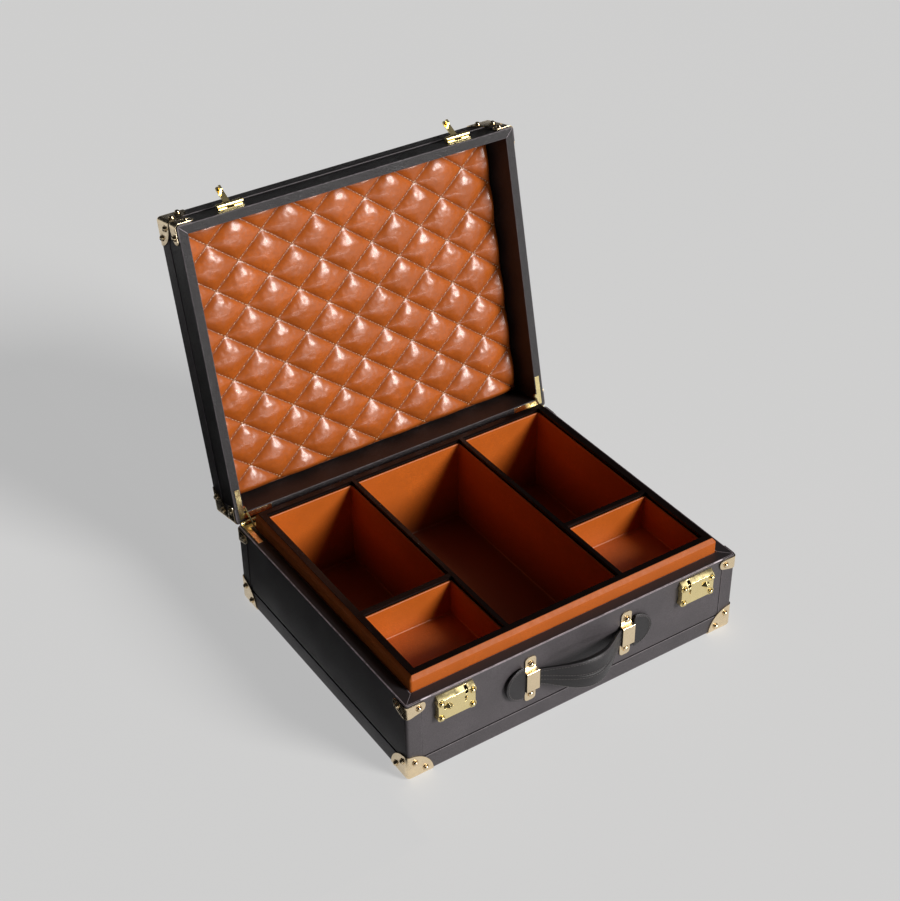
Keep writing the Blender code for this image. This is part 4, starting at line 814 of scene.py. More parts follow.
def build_mitres(half, materials):
    """Pale ridges along the rim's mitres, a painted highlight along the base's front edge, and near-black strips
    beside the corner strips as painted shade of their grooves.
    """
    wall = SHELL_WALLS[half.name]
    ridges = bmesh.new()
    cords = bmesh.new()
    low = BINDING_RISE[half.name] + GROOVE_SHADE_ENDS
    high = half.height - GROOVE_SHADE_ENDS
    for word, sx, sy in CORNERS:
        if sy < 0:
            x = half.half_x - MITRE_INSETS[0]
            y = half.half_y - MITRE_INSETS[0]
            outer = Vector((sx * x, sy * y, half.height))
            x = half.half_x - wall[0] + MITRE_INSETS[1]
            y = half.half_y - wall[1] + MITRE_INSETS[1]
            inner = Vector((sx * x, sy * y, half.height))
            add_bar(ridges, outer, inner, MITRE_WIDE, MITRE_PROUD * 2.0)
        # A pale bar along the base's front top edge is a painted highlight.
        if sy < 0 and half.name == "base":
            x = sx * (half.half_x - EDGE_CLEAR)
            edge = Vector((x, -half.half_y + EDGE_IN, half.height - EDGE_IN))
            add_bar(ridges, edge, Vector((0.0, edge.y, edge.z)), MITRE_WIDE, MITRE_WIDE)
        # Near-black strips beside each corner strip are painted shade of the groove.
        reach = BINDING_CORNER + GROOVE_GAP
        for x, y in (
            (half.half_x - reach, half.half_y - PANEL_STEP),
            (half.half_x - PANEL_STEP, half.half_y - reach),
        ):
            foot = Vector((sx * x, sy * y, low))
            add_bar(cords, foot, foot + Vector((0.0, 0.0, high - low)), GROOVE_SHADE_WIDE, GROOVE_SHADE_WIDE)
    for part, bm, finish in (("mitres", ridges, "worn"), ("cords", cords, "cord")):
        fold_edges(bm, list(bm.edges), MITRE_PROUD * 0.4, 1)
        half.settle(bm)
        name = "%s_binding_%s" % (half.name, part)
        link_piece(name, bm, half.name, materials[finish], (), half.lid)


def build_binding(half, materials):
    """Leather strips round the outer edges and up the corners."""
    rise = BINDING_RISE[half.name]
    band = bmesh.new()
    rows = folded(
        (
            (BINDING_CORNER, 0.0, 0.0, 0.0),
            (0.0, 0.0, FOOT_FOLD, 0.5),
            (0.0, rise, 0.0005, 0.7),
            (BINDING_WALL, rise, 0.0, 0.0),
            (BINDING_WALL, BINDING_WALL, 0.0, 0.0),
            (BINDING_CORNER, BINDING_WALL, 0.0, 0.0),
        )
    )
    sweep(band, half.plan, rows, CASE_CORNER, closed=True)
    strips = bmesh.new()
    for word, sx, sy in CORNERS:
        add_corner_strip(strips, half, sx, sy)
    bmesh.ops.recalc_face_normals(strips, faces=strips.faces)
    fold_edges(strips, sharp_edges(strips, STEEP_ANGLE), STRIP_FOLD, 2)
    for part, bm, replaced in (("band", band, (half.name + "_binding",)), ("strips", strips, ())):
        half.settle(bm)
        bm = combined(bm, ("DIFFERENCE", hinge_cuts(half)), ("DIFFERENCE", barrel_cuts()))
        name = "%s_binding_%s" % (half.name, part)
        finish = materials["binding"]
        weighted(link_piece(name, bm, half.name, finish, replaced, half.lid))


# ------------------------------------------------------------------ fitted interior

LINER_WALLS = (0.0060, 0.0060, 0.0027)
LINER_SLOPE = (0.0040, 0.0040, 0.0014)
LINER_FLOOR = 0.0073
TRAY_WALL = 0.0022
TRAY_FLOORS = {"front_left": 0.0715, "front_right": 0.0715}
TRAY_FLOOR = 0.0096
TRAY_FILL = 0.02
FIT_GAP = 0.0003
LINING_CORNER = 0.0030
LIP_CHAMFER_DROP = 0.0045
FRAME_FOLD = 0.0013
# Depths below the frame's top between which the painted highlight lies.
FRAME_HIGHLIGHT_BAND = (0.0011, 0.0001)


def plan_of(node):
    """Plan box of a node as (x low, x high, y low, y high)."""
    low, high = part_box(node)
    return (low[0], high[0], low[1], high[1])


def build_liner(materials):
    """Tan leather box with a sloping padded lip."""
    low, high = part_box("liner_box")
    rows = folded(
        (
            (BASE_FILL, low[2], 0.0, 0.0),
            (0.0, low[2], 0.0008, 0.0),
            (0.0, high[2] - LIP_CHAMFER_DROP, 0.0007, 0.8),
            (LINER_SLOPE, high[2], 0.0006, 0.8),
            (LINER_WALLS, high[2], 0.0007, 0.4),
            (LINER_WALLS, LINER_FLOOR, 0.0, 0.0),
        )
    )
    bm = bmesh.new()
    sweep(bm, plan_of("liner_box"), rows, LINING_CORNER)
    finish = materials["lip"]
    weighted(link_piece("liner_box_leather", bm, "base", finish, ("liner_box",)))


def build_divider_frame(materials):
    """Black painted grid between the compartments, its top edges rounded."""
    low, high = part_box("divider_frame")
    cells = []
    for node in sorted(frame["nodes"]):
        if node.endswith("_compartment"):
            x0, x1, y0, y1 = plan_of(node)
            cells.append((x0 - FIT_GAP, x1 + FIT_GAP, y0 - FIT_GAP, y1 + FIT_GAP))
    lip_low, lip_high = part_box("liner_box")
    ends_x = (lip_low[0] + LINER_SLOPE[0], lip_high[0] - LINER_SLOPE[0])
    ends_y = (lip_low[1] + LINER_SLOPE[1], lip_high[1] - LINER_SLOPE[2])
    xs = [value for cell in cells for value in cell[:2]] + list(ends_x)
    ys = [value for cell in cells for value in cell[2:]] + list(ends_y)
    xs = sorted({round(value, 5) for value in xs})
    ys = sorted({round(value, 5) for value in ys})

    def solid(i, j):
        if not (0 <= i < len(xs) - 1 and 0 <= j < len(ys) - 1):
            return False
        x = (xs[i] + xs[i + 1]) / 2.0
        y = (ys[j] + ys[j + 1]) / 2.0
        return not any(c[0] < x < c[1] and c[2] < y < c[3] for c in cells)

    bm = bmesh.new()
    corners = {}

    def corner(i, j, level):
        key = (i, j, level)
        if key not in corners:
            corners[key] = bm.verts.new((xs[i], ys[j], level))
        return corners[key]

    bottom, top = low[2], high[2]
    for i in range(len(xs) - 1):
        for j in range(len(ys) - 1):
            if not solid(i, j):
                continue
            plan = ((i, j), (i + 1, j), (i + 1, j + 1), (i, j + 1))
            bm.faces.new([corner(a, b, top) for a, b in plan])
            bm.faces.new([corner(a, b, bottom) for a, b in reversed(plan)])
            neighbours = ((i, j - 1), (i + 1, j), (i, j + 1), (i - 1, j))
            for number, other in enumerate(neighbours):
                if solid(*other):
                    continue
                a, b = plan[number], plan[(number + 1) % 4]
                wall = ((*a, bottom), (*b, bottom), (*b, top), (*a, top))
                bm.faces.new([corner(*key) for key in wall])
    edges = [edge for edge in sharp_edges(bm) if all(abs(v.co.z - top) < 1e-6 for v in edge.verts)]
    fold_edges(bm, edges, FRAME_FOLD, 4, clamp=False)
    # A band just under the top edge is marked for the painted highlight.
    layer = wear_and_highlight_layer(bm)
    for vert in bm.verts:
        in_highlight_band = top - FRAME_HIGHLIGHT_BAND[0] < vert.co.z < top - FRAME_HIGHLIGHT_BAND[1]
        vert[layer] = 1.0 if in_highlight_band else 0.0
    finish = materials["edging"]
    replaced = ("divider_frame",)
    weighted(link_piece("divider_frame_edging", bm, "base", finish, replaced))


def build_tray(node, materials):
    """Tan lining of one compartment with a rolled top edge."""
    low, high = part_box(node)
    floor = TRAY_FLOORS.get(node.replace("_compartment", ""), TRAY_FLOOR)
    roll = TRAY_WALL / 2.0
    rows = folded(
        (
            (TRAY_FILL, low[2], 0.0, 0.0),
            (0.0, low[2], 0.0005, 0.0),
            (0.0, high[2], roll * 0.98, 0.5),
            (TRAY_WALL, high[2], roll * 0.98, 0.5),
            (TRAY_WALL, floor, 0.0020, 0.0),
            (TRAY_FILL, floor, 0.0, 0.0),
        )
    )
    bm = bmesh.new()
    sweep(bm, plan_of(node), rows, LINING_CORNER)
    weighted(link_piece(node + "_lining", bm, "base", materials["lining"], (node,)))


# ------------------------------------------------------------------ quilted pad

SEAM_ORIGIN = (-0.1658, -0.1319)
PAD_ROLL = 0.0090
PAD_DROP = 0.0090
PAD_STEPS = (0.00130, 0.0030)
PAD_THREAD = 0.00042
PAD_THREAD_LIFT = 0.00020
PAD_SEAM_END = 0.004
SEAM_WIDTH = 0.0010
SEAM_POINTS = 400
CROWN_POWERS = (2.2, 0.66)
PUCKER = (0.00030, 0.0045, 0.0046)
PINCH = 0.0012
FOLD_RISE = 0.00042


def shut_box(node):
    """Box of a lid node with the lid shut."""
    points = [LID_SHUT @ vertex.co for vertex in frame["nodes"][node].data.vertices]
    low = Vector([min(point[k] for point in points) for k in range(3)])
    high = Vector([max(point[k] for point in points) for k in range(3)])
    return low, high


class Quilt:
    """Shape of the quilted pad in the shut lid: seams, crowns, puckers and rolled edges."""

    def __init__(self, settings):
        self.low, self.high = shut_box("lid_pad")
        self.wide = settings.half_wide
        self.deep = settings.half_high
        self.puff = settings.puff
        self.origin = Vector(SEAM_ORIGIN)
        self.seam_z = self.low.z + settings.puff
        self.side = 2.0 * self.wide * self.deep / math.hypot(self.wide, self.deep)
        self.length = math.hypot(self.wide, self.deep)

    def grid(self, x, y):
        """Diamond coordinates: seams run where either one is whole."""
        u = (x - self.origin.x) / self.wide
        v = (y - self.origin.y) / self.deep
        return (u + v) / 2.0, (u - v) / 2.0

    def nearness(self, x, y):
        """Distances to the nearest seam of each family."""
        p, q = self.grid(x, y)
        return abs(p - round(p)) * self.side, abs(q - round(q)) * self.side

    def edge(self, x, y):
        """Distance in from the pad's outline."""
        return min(x - self.low.x, self.high.x - x, y - self.low.y, self.high.y - y)

    def depth(self, x, y):
        """Height of the leather above its seams."""
        p, q = self.grid(x, y)
        steep, blunt = CROWN_POWERS
        rise_p = 1.0 - abs(2.0 * (p - math.floor(p)) - 1.0) ** steep
        rise_q = 1.0 - abs(2.0 * (q - math.floor(q)) - 1.0) ** steep
        wobble = 1.0 + 0.10 * noise.noise(Vector((x * 30.0, y * 30.0, 9.0)))
        crown = max(0.0, rise_p * rise_q) ** blunt * self.puff * wobble
        near_p, near_q = self.nearness(x, y)
        near, along = (near_p, q) if near_p < near_q else (near_q, p)
        shift = noise.noise(Vector((x * 70.0, y * 70.0, 1.7)))
        rise, fade, pitch = PUCKER
        wave = math.cos(2.0 * math.pi * (along * self.length * 2.0 / pitch + shift * 1.2))
        pucker = rise * math.exp(-near / fade) * wave
        pinch = 1.0 - math.exp(-near / PINCH)
        folds = FOLD_RISE * noise.fractal(Vector((x * 110.0, y * 110.0, 4.0)), 1.0, 2.0, 3)
        return crown + (pucker + folds) * pinch

    def height(self, x, y):
        """Z of the leather in the shut lid; the pad faces down."""
        across = min(1.0, max(0.0, self.edge(x, y)) / PAD_ROLL)
        drop = (1.0 - math.sqrt(max(0.0, 1.0 - (1.0 - across) ** 2))) * PAD_DROP
        return self.seam_z - self.depth(x, y) * (0.2 + 0.8 * across) + drop


def build_pad(quilt, materials):
    """Quilted leather pad and its seams' stitches."""
    shape = Quilt(quilt)
    step = PAD_STEPS[0]
    span_x = shape.high.x - shape.low.x
    span_y = shape.high.y - shape.low.y
    centre = ((shape.low.x + shape.high.x) / 2.0, (shape.low.y + shape.high.y) / 2.0, 0.0)
    matrix = Matrix.Translation(centre) @ Matrix.Diagonal((span_x, span_y, 1.0, 1.0))
    bm = bmesh.new()
    across = int(span_x / step)
    deep = int(span_y / step)
    bmesh.ops.create_grid(bm, x_segments=across, y_segments=deep, size=0.5, matrix=matrix)
    seam = bm.verts.layers.float.new("seam")
    for vert in bm.verts:
        near = min(shape.nearness(vert.co.x, vert.co.y))
        # Nearness to a seam, where the pad's material paints shade.
        vert[seam] = math.exp(-((near / SEAM_WIDTH) ** 2))
        vert.co.z = shape.height(vert.co.x, vert.co.y)
    made = bmesh.ops.extrude_edge_only(bm, edges=[edge for edge in bm.edges if edge.is_boundary])
    for item in made["geom"]:
        if isinstance(item, bmesh.types.BMVert):
            item.co.z = shape.high.z
    bmesh.ops.holes_fill(bm, edges=[edge for edge in bm.edges if edge.is_boundary], sides=0)
    bmesh.ops.recalc_face_normals(bm, faces=bm.faces)
    finish = materials["quilt"]
    pad = link_piece("quilted_pad", bm, "lid", finish, ("lid_pad",), True, math.radians(80.0))
    build_pad_stitches(quilt, shape, materials)


def build_pad_stitches(quilt, shape, materials):
    """Stitches along every seam of the quilt."""
    bm = bmesh.new()
    down = Vector((0.0, 0.0, -1.0))
    reach = int((shape.high.x - shape.low.x) / shape.wide) + 2
    for family in (1, -1):
        for number in range(-reach, 2 * reach):
            points = []
            for part in range(SEAM_POINTS + 1):
                along = -reach + part * 3.0 * reach / SEAM_POINTS
                p, q = (number, along) if family > 0 else (along, number)
                x = shape.origin.x + (p + q) * shape.wide
                y = shape.origin.y + (p - q) * shape.deep
                if shape.edge(x, y) > PAD_SEAM_END:
                    points.append(Vector((x, y, shape.height(x, y) - PAD_THREAD_LIFT)))
            if len(points) > 1:
                add_seam(bm, points, [down] * len(points), quilt.pitch, PAD_THREAD)
    finish = materials["tan_thread"]
    link_piece("quilted_pad_stitches", bm, "lid", finish, lid=True)


# ------------------------------------------------------------------ brass corners

PLATE_OUT = 0.0013
PLATE_IN = 0.0003
PLATE_CORNER = CASE_CORNER + PLATE_OUT
CAP_REACH = 0.0300
CAP_RIVETS = ((0.0205, 0.0080), (0.0080, 0.0205))
CAP_RIVET_RADIUS = 0.0037
BRACKET_RIVET = (0.0142, 0.0082)
BRACKET_PROFILE = (
    (0.000, 0.0022, 0.0172),
    (0.040, 0.0022, 0.0172),
    (0.220, 0.0022, 0.0171),
    (0.420, 0.0022, 0.0160),
    (0.640, 0.0022, 0.0148),
    (0.840, 0.0022, 0.0134),
    (0.920, 0.0026, 0.0122),
    (0.975, 0.0038, 0.0104),
    (1.000, 0.0056, 0.0082),
)
BRACKET_REACH = 0.0220
BRACKET_COLUMNS = 24
BRACKET_ROWS = 6
ARC_COLUMNS = 5
BRACKET_FOLD = 0.0003
BLOCK_SIZES = (0.034, 0.040)
HALF_RIGHT = math.radians(45.0)


def rounded_block(low, high, radius):
    """Block whose three edges at its low corner are rounded."""
    bm = bmesh.new()
    add_box(bm, (low,) * 3, (high,) * 3)
    edges = []
    for edge in bm.edges:
        on = [k for k in range(3) if all(abs(vert.co[k] - low) < 1e-6 for vert in edge.verts)]
        if len(on) == 2:
            edges.append(edge)
    bmesh.ops.bevel(
        bm,
        geom=edges,
        offset=radius,
        offset_type="OFFSET",
        segments=8,
        profile=0.5,
        affect="EDGES",
        material=-1,
    )
    return bm


def cap_plate():
    """Three-faced corner cap in corner space: the case fills +x, +y and +z."""
    outer = rounded_block(-PLATE_OUT, BLOCK_SIZES[0], PLATE_CORNER)
    inner = rounded_block(-PLATE_IN, BLOCK_SIZES[1], PLATE_CORNER - PLATE_OUT + PLATE_IN)
    ball = bmesh.new()
    bmesh.ops.create_uvsphere(ball, u_segments=96, v_segments=48, radius=CAP_REACH)
    return combined(outer, ("DIFFERENCE", inner), ("INTERSECT", ball))


def bracket_spans(reach):
    """Upper and lower edge of a bracket at a distance from the corner."""
    part = min(1.0, max(0.0, reach / BRACKET_REACH))
    for first, second in zip(BRACKET_PROFILE[:-1], BRACKET_PROFILE[1:]):
        if part <= second[0]:
            blend = (part - first[0]) / (second[0] - first[0])
            return tuple(a + (b - a) * blend for a, b in zip(first[1:], second[1:]))
    return BRACKET_PROFILE[-1][1:]


def bracket_path():
    """Distances along a bracket from its corner, to both sides, and where its bend ends."""
    arc = PLATE_CORNER * math.pi / 4.0
    end = arc + BRACKET_REACH + PLATE_OUT - PLATE_CORNER
    marks = [arc * step / ARC_COLUMNS for step in range(ARC_COLUMNS + 1)]
    marks += [arc + (end - arc) * step / BRACKET_COLUMNS for step in range(1, BRACKET_COLUMNS + 1)]
    return sorted({-mark for mark in marks if mark > 0.0} | set(marks)), arc


def bracket_row(bm, mark, arc, offset):
    """One upright row of a bracket's skin; offset is how far the skin lies inside the outer one."""
    reach = abs(mark)
    bend = PLATE_CORNER - offset
    if reach <= arc:
        angle = HALF_RIGHT * reach / arc
        near = -PLATE_OUT + PLATE_CORNER - bend * math.cos(HALF_RIGHT + angle)
        far = -PLATE_OUT + PLATE_CORNER - bend * math.sin(HALF_RIGHT + angle)
    else:
        near = -PLATE_OUT + PLATE_CORNER + reach - arc
        far = -PLATE_OUT + offset
    top, low = bracket_spans(near)
    x, y = (near, far) if mark >= 0.0 else (far, near)
    levels = [top + (low - top) * step / BRACKET_ROWS for step in range(BRACKET_ROWS + 1)]
    return [bm.verts.new((x, y, z)) for z in levels]


def bracket_plate():
    """Two-sided bracket in corner space, its rim edge at zero height and the case at +z."""
    path, arc = bracket_path()
    bm = bmesh.new()
    sheets = []
    for offset in (0.0, PLATE_OUT - PLATE_IN):
        rows = [bracket_row(bm, mark, arc, offset) for mark in path]
        sheets.append(rows)
        for first, second in zip(rows[:-1], rows[1:]):
            bridge(bm, first, second, closed=False)
    front, back = sheets
    for i in range(len(path) - 1):
        for k in (0, BRACKET_ROWS):
            bm.faces.new((front[i][k], front[i + 1][k], back[i + 1][k], back[i][k]))
    for i in (0, len(path) - 1):
        for k in range(BRACKET_ROWS):
            bm.faces.new((front[i][k], front[i][k + 1], back[i][k + 1], back[i][k]))
    bmesh.ops.recalc_face_normals(bm, faces=bm.faces)
    return bm


def corner_rivets(spots):
    """Ringed rivets in corner space; each spot is (point, direction)."""
    bm = bmesh.new()
    for point, direction in spots:
        add_rivet(bm, point, direction, CAP_RIVET_RADIUS)
    bmesh.ops.recalc_face_normals(bm, faces=bm.faces)
    return bm


def cap_spots(faces):
    """Rivet spots on the shown faces of a cap."""
    spots = []
    for axis in faces:
        others = [k for k in range(3) if k != axis]
        direction = Vector((0.0, 0.0, 0.0))
        direction[axis] = -1.0
        for first, second in CAP_RIVETS:
            point = Vector((0.0, 0.0, 0.0))
            point[others[0]] = first
            point[others[1]] = second
            point[axis] = -PLATE_OUT
            spots.append((point, direction))
    return spots


def bracket_spots():
    """Rivet spots on a bracket."""
    along, drop = BRACKET_RIVET
    return [
        (Vector((along, -PLATE_OUT, drop)), Vector((0.0, -1.0, 0.0))),
        (Vector((-PLATE_OUT, along, drop)), Vector((-1.0, 0.0, 0.0))),
    ]


def placed(mesh, corner, signs):
    """Copy of a corner-space mesh at one corner of the case."""
    bm = bmesh.new()
    bm.from_mesh(mesh)
    matrix = Matrix.Translation(corner) @ Matrix.Diagonal((*signs, 1.0))
    bmesh.ops.transform(bm, matrix=matrix, verts=bm.verts)
    if signs[0] * signs[1] * signs[2] < 0:
        bmesh.ops.reverse_faces(bm, faces=bm.faces)
    return bm


def stored(bm):
    """Mesh kept for making mirrored copies."""
    mesh = bpy.data.meshes.new("corner_pattern")
    bm.to_mesh(mesh)
    bm.free()
    return mesh


def build_corner_brass(materials):
    """Corner caps and rim brackets with their ringed rivets."""
    plate = cap_plate()
    bmesh.ops.remove_doubles(plate, verts=plate.verts, dist=1e-6)
    cap = stored(plate)
    bracket_bm = bracket_plate()
    fold_edges(bracket_bm, sharp_edges(bracket_bm, STEEP_ANGLE), BRACKET_FOLD, 2)
    bracket = stored(bracket_bm)
    bracket_studs = stored(corner_rivets(bracket_spots()))
    for name in ("base", "lid"):
        half = Half(name)
        lid = half.lid
        studs = stored(corner_rivets(cap_spots((0, 1, 2) if lid else (0, 1))))
        outer_z = (half.place @ Vector((0.0, 0.0, 0.0))).z
        rim_z = (half.place @ Vector((0.0, 0.0, half.height))).z
        rise = -1.0 if lid else 1.0
        metal = materials["pale"]
        stud_metal = materials["rivet"]
        for word, sx, sy in CORNERS:
            corner = (sx * half.half_x, sy * half.half_y, outer_z)
            rim_corner = (sx * half.half_x, sy * half.half_y, rim_z)
            inward = (-sx, -sy, rise)
            outward = (-sx, -sy, -rise)
            jobs = (
                ("cap_%s" % word, cap, corner, inward, metal, True),
                ("cap_studs_%s" % word, studs, corner, inward, stud_metal, False),
                ("bracket_%s" % word, bracket, rim_corner, outward, metal, True),
                ("bracket_studs_%s" % word, bracket_studs, rim_corner, outward, stud_metal, False),
            )
            for part, mesh, where, signs, finish, replaces in jobs:
                bm = placed(mesh, where, signs)
                node = "%s_%s" % (name, part)
                replaced = (node,) if replaces else ()
                link_piece(node + "_brass", bm, name, finish, replaced, lid)


# ------------------------------------------------------------------ brass fittings

LOCK_OFFSET = 0.154
LOCK_HALF = 0.0184
LOCK_FACE = -0.1782
LOCK_RIVET_LEVELS = (0.0686, 0.0873)
LOCK_RIVET_RADIUS = 0.0037
KEEPER_OFFSET = 0.0615
KEEPER_FACE = -0.1736
KEEPER_RIVETS = (0.0402, 0.0798)
KEEPER_RIVET_RADIUS = 0.0043
FITTING_FOLDS = (
    ("lock_case", 0.00045, "yellow", "polished_brass"),
    ("lock_button", 0.00025, "yellow", "polished_brass"),
    ("lock_key_cam", 0.00015, "yellow", "polished_brass"),
    ("hasp_plate", 0.00025, "yellow", "polished_brass"),
    ("hasp_tongue", 0.00030, "yellow", "polished_brass"),
    ("hinge_base_leaf", 0.00018, "yellow", "polished_brass"),
    ("hinge_lid_leaf", 0.00018, "yellow", "polished_brass"),
    ("stay_link", 0.00018, "yellow", "polished_brass"),
    ("handle_keeper", 0.00055, "pale", "pale_brass"),
)


def body_of(node):
    """Name of the body that a node rides on."""
    for body, nodes in frame["record"]["behaviour"]["bodies"].items():
        if node in nodes:
            return body
    return "base"


def build_fittings(materials):
    """Locks, hasps, hinges, stays and keepers with softened edges."""
    for prefix, radius, finish, slot in FITTING_FOLDS:
        for word, side in SIDES:
            node = "%s_%s" % (prefix, word)
            bm = node_copy(node)
            fold_edges(bm, sharp_edges(bm, math.radians(50.0)), radius, 2)
            weighted(link_piece(node + "_brass", bm, body_of(node), materials[finish], (node,)))
    for node, item in frame["nodes"].items():
        if node.startswith(("hinge_pin", "hasp_pin", "lid_pad_board")):
            finish = "board" if node == "lid_pad_board" else "yellow"
            for slot in item.material_slots:
                slot.material = materials[finish]


def build_studs(materials):
    """Ringed rivets of the locks and the handle keepers."""
    out = Vector((0.0, -1.0, 0.0))
    for word, side in SIDES:
        bm = bmesh.new()
        for step in (-1, 1):
            for level in LOCK_RIVET_LEVELS:
                point = Vector((side * LOCK_OFFSET + step * LOCK_HALF, LOCK_FACE, level))
                add_rivet(bm, point, out, LOCK_RIVET_RADIUS)
        bmesh.ops.recalc_face_normals(bm, faces=bm.faces)
        link_piece("lock_studs_" + word, bm, "base", materials["lock_rivet"])
        bm = bmesh.new()
        for level in KEEPER_RIVETS:
            add_rivet(bm, Vector((side * KEEPER_OFFSET, KEEPER_FACE, level)), out, KEEPER_RIVET_RADIUS)
        bmesh.ops.recalc_face_normals(bm, faces=bm.faces)
        link_piece("keeper_studs_" + word, bm, "base", materials["rivet"])


# ------------------------------------------------------------------ handle

HANDLE_Y = -0.1753
HANDLE_Z = 0.0600
HANDLE_END_RADIUS = 0.0215
HANDLE_NECK = 0.0210
HANDLE_SHOULDER = 0.0022
HANDLE_GRIP = 0.0390
HANDLE_END_THICKNESS = 0.0034
HANDLE_GRIP_THICKNESS = 0.0078
HANDLE_BOW = 0.0240
HANDLE_END_REACH = 0.0933
KEEPER_HALF = 0.0080
HANDLE_PITCH = 0.0030
HANDLE_THREAD = 0.00030
HANDLE_THREAD_LIFT = 0.00012
SEAM_SPREAD = 0.0026
END_SEAM_INSET = 0.0024
FRONT_MARKS = (-1.0, -0.98, -0.93, -0.84, -0.68, -0.50, -0.32, -0.18, -0.09, -0.045, -0.02, 0.0)
BACK_MARKS = (-0.96, -0.80, -0.40, 0.0)


def smooth_step(value):
    """Ease from 0 to 1."""
    value = max(0.0, min(1.0, value))
    return value * value * (3.0 - 2.0 * value)


def handle_bow(x):
    """How far the strap stands in front of its flat ends at a distance from centre."""
    start = KEEPER_OFFSET - KEEPER_HALF
    if abs(x) >= start:
        return 0.0
    return HANDLE_BOW * (math.cos(math.pi * x / start) * 0.5 + 0.5) ** 0.62


def handle_half_width(x):
    """Half of the strap's width at a distance from centre."""
    reach = abs(x)
    end_centre = HANDLE_END_REACH - HANDLE_END_RADIUS
    if reach > end_centre:
        across = min(1.0, (reach - end_centre) / HANDLE_END_RADIUS)
        return HANDLE_END_RADIUS * math.sqrt(max(0.0004, 1.0 - across * across))
    shoulder = end_centre - HANDLE_SHOULDER
    if reach > shoulder:
        blend = (reach - shoulder) / HANDLE_SHOULDER
        return (HANDLE_NECK + (2.0 * HANDLE_END_RADIUS - HANDLE_NECK) * blend ** 0.5) / 2.0
    blend = smooth_step(1.0 - reach / (KEEPER_OFFSET - KEEPER_HALF))
    return (HANDLE_NECK + (HANDLE_GRIP - HANDLE_NECK) * blend ** 0.7) / 2.0


def handle_half_thickness(x):
    """Half of the strap's thickness at a distance from centre."""
    blend = smooth_step(1.0 - abs(x) / (KEEPER_OFFSET - 0.010))
    return (HANDLE_END_THICKNESS + (HANDLE_GRIP_THICKNESS - HANDLE_END_THICKNESS) * blend) / 2.0


def handle_point(x, mark, front=True):
    """Point on the strap's skin: mark runs from -1 at the lower edge to 1 at the upper edge."""
    half_w = handle_half_width(x)
    half_t = handle_half_thickness(x)
    slope = (handle_bow(x - 0.0005) - handle_bow(x + 0.0005)) / 0.001
    along = Vector((1.0, slope, 0.0)).normalized()
    outward = Vector((along.y, -along.x, 0.0))
    edge = max(0.0, 1.0 - abs(mark) ** 6.0) ** 0.5
    rise = half_t * (0.30 + 0.70 * edge)
    middle = Vector((x, HANDLE_Y - handle_bow(x), HANDLE_Z + mark * half_w))
    if not front:
        return middle - outward * rise
    grip = smooth_step(1.0 - abs(x) / (KEEPER_OFFSET - 0.006))
    dish = grip * 0.0012 * (1.0 - mark * mark)
    groove = grip * 0.0009 * math.exp(-((mark * half_w / 0.0008) ** 2))
    return middle + outward * (rise + dish - groove)


def build_handle(materials):
    """Bowed leather strap with a seam down its face."""
    end_centre = HANDLE_END_REACH - HANDLE_END_RADIUS
    turns = [math.pi / 2.0 * step / 14.0 for step in range(15)]
    marks = {end_centre + HANDLE_END_RADIUS * math.sin(turn) for turn in turns}
    marks |= {end_centre * step / 48.0 for step in range(49)}
    marks |= {end_centre - HANDLE_SHOULDER * part for part in (0.9, 0.97, 0.7, 0.4, 0.15)}
    stations = sorted({-mark for mark in marks if mark > 0.0} | marks)
    front = list(FRONT_MARKS) + [-mark for mark in reversed(FRONT_MARKS[:-1])]
    back = [-mark for mark in BACK_MARKS[:-1]] + [0.0] + list(reversed(BACK_MARKS[:-1]))
    bm = bmesh.new()
    rings = []
    layer = wear_and_highlight_layer(bm)
    for x in stations:
        ring = []
        for mark in front:
            vert = bm.verts.new(handle_point(x, mark))
            # Lines just inside the strap's edges turn pale: partly wear, partly a painted highlight.
            vert[layer] = 0.7 if abs(abs(mark) - 0.93) < 0.01 else 0.0
            ring.append(vert)
        ring += [bm.verts.new(handle_point(x, mark, front=False)) for mark in back]
        rings.append(ring)
    for lower, upper in zip(rings[:-1], rings[1:]):
        bridge(bm, lower, upper)
    bm.faces.new(rings[0])
    bm.faces.new(list(reversed(rings[-1])))
    bmesh.ops.recalc_face_normals(bm, faces=bm.faces)
    finish = materials["strap"]
    replaced = ("handle_strap",)
    name = "handle_strap_leather"
    link_piece(name, bm, "handle", finish, replaced, False, STEEP_ANGLE)
    build_handle_stitches(materials)


def build_handle_stitches(materials):
    """Two rows of stitches beside the handle's seam and one along each edge."""
    out = Vector((0.0, -1.0, 0.0))
    bm = bmesh.new()
    reach = KEEPER_OFFSET - KEEPER_HALF - 0.002
    for centred, sign in ((True, -1), (True, 1), (False, -1), (False, 1)):
        points = []
        for step in range(121):
            x = -reach + 2.0 * reach * step / 120.0
            half_w = handle_half_width(x)
            part = SEAM_SPREAD / half_w
            mark = sign * (part if centred else 1.0 - part)
            points.append(handle_point(x, mark) + out * HANDLE_THREAD_LIFT)
        add_seam(bm, points, [out] * len(points), HANDLE_PITCH, HANDLE_THREAD)
    for side in (-1, 1):
        centre = side * (HANDLE_END_REACH - HANDLE_END_RADIUS)
        points = []
        for step in range(61):
            angle = math.radians(-78.0 + 156.0 * step / 60.0)
            radius = HANDLE_END_RADIUS - END_SEAM_INSET
            x = centre + side * radius * math.cos(angle)
            z = radius * math.sin(angle)
            points.append(handle_point(x, z / handle_half_width(x)) + out * HANDLE_THREAD_LIFT)
        add_seam(bm, points, [out] * len(points), HANDLE_PITCH, HANDLE_THREAD)
    link_piece("handle_stitches", bm, "handle", materials["dark_thread"])


# ------------------------------------------------------------------ stage


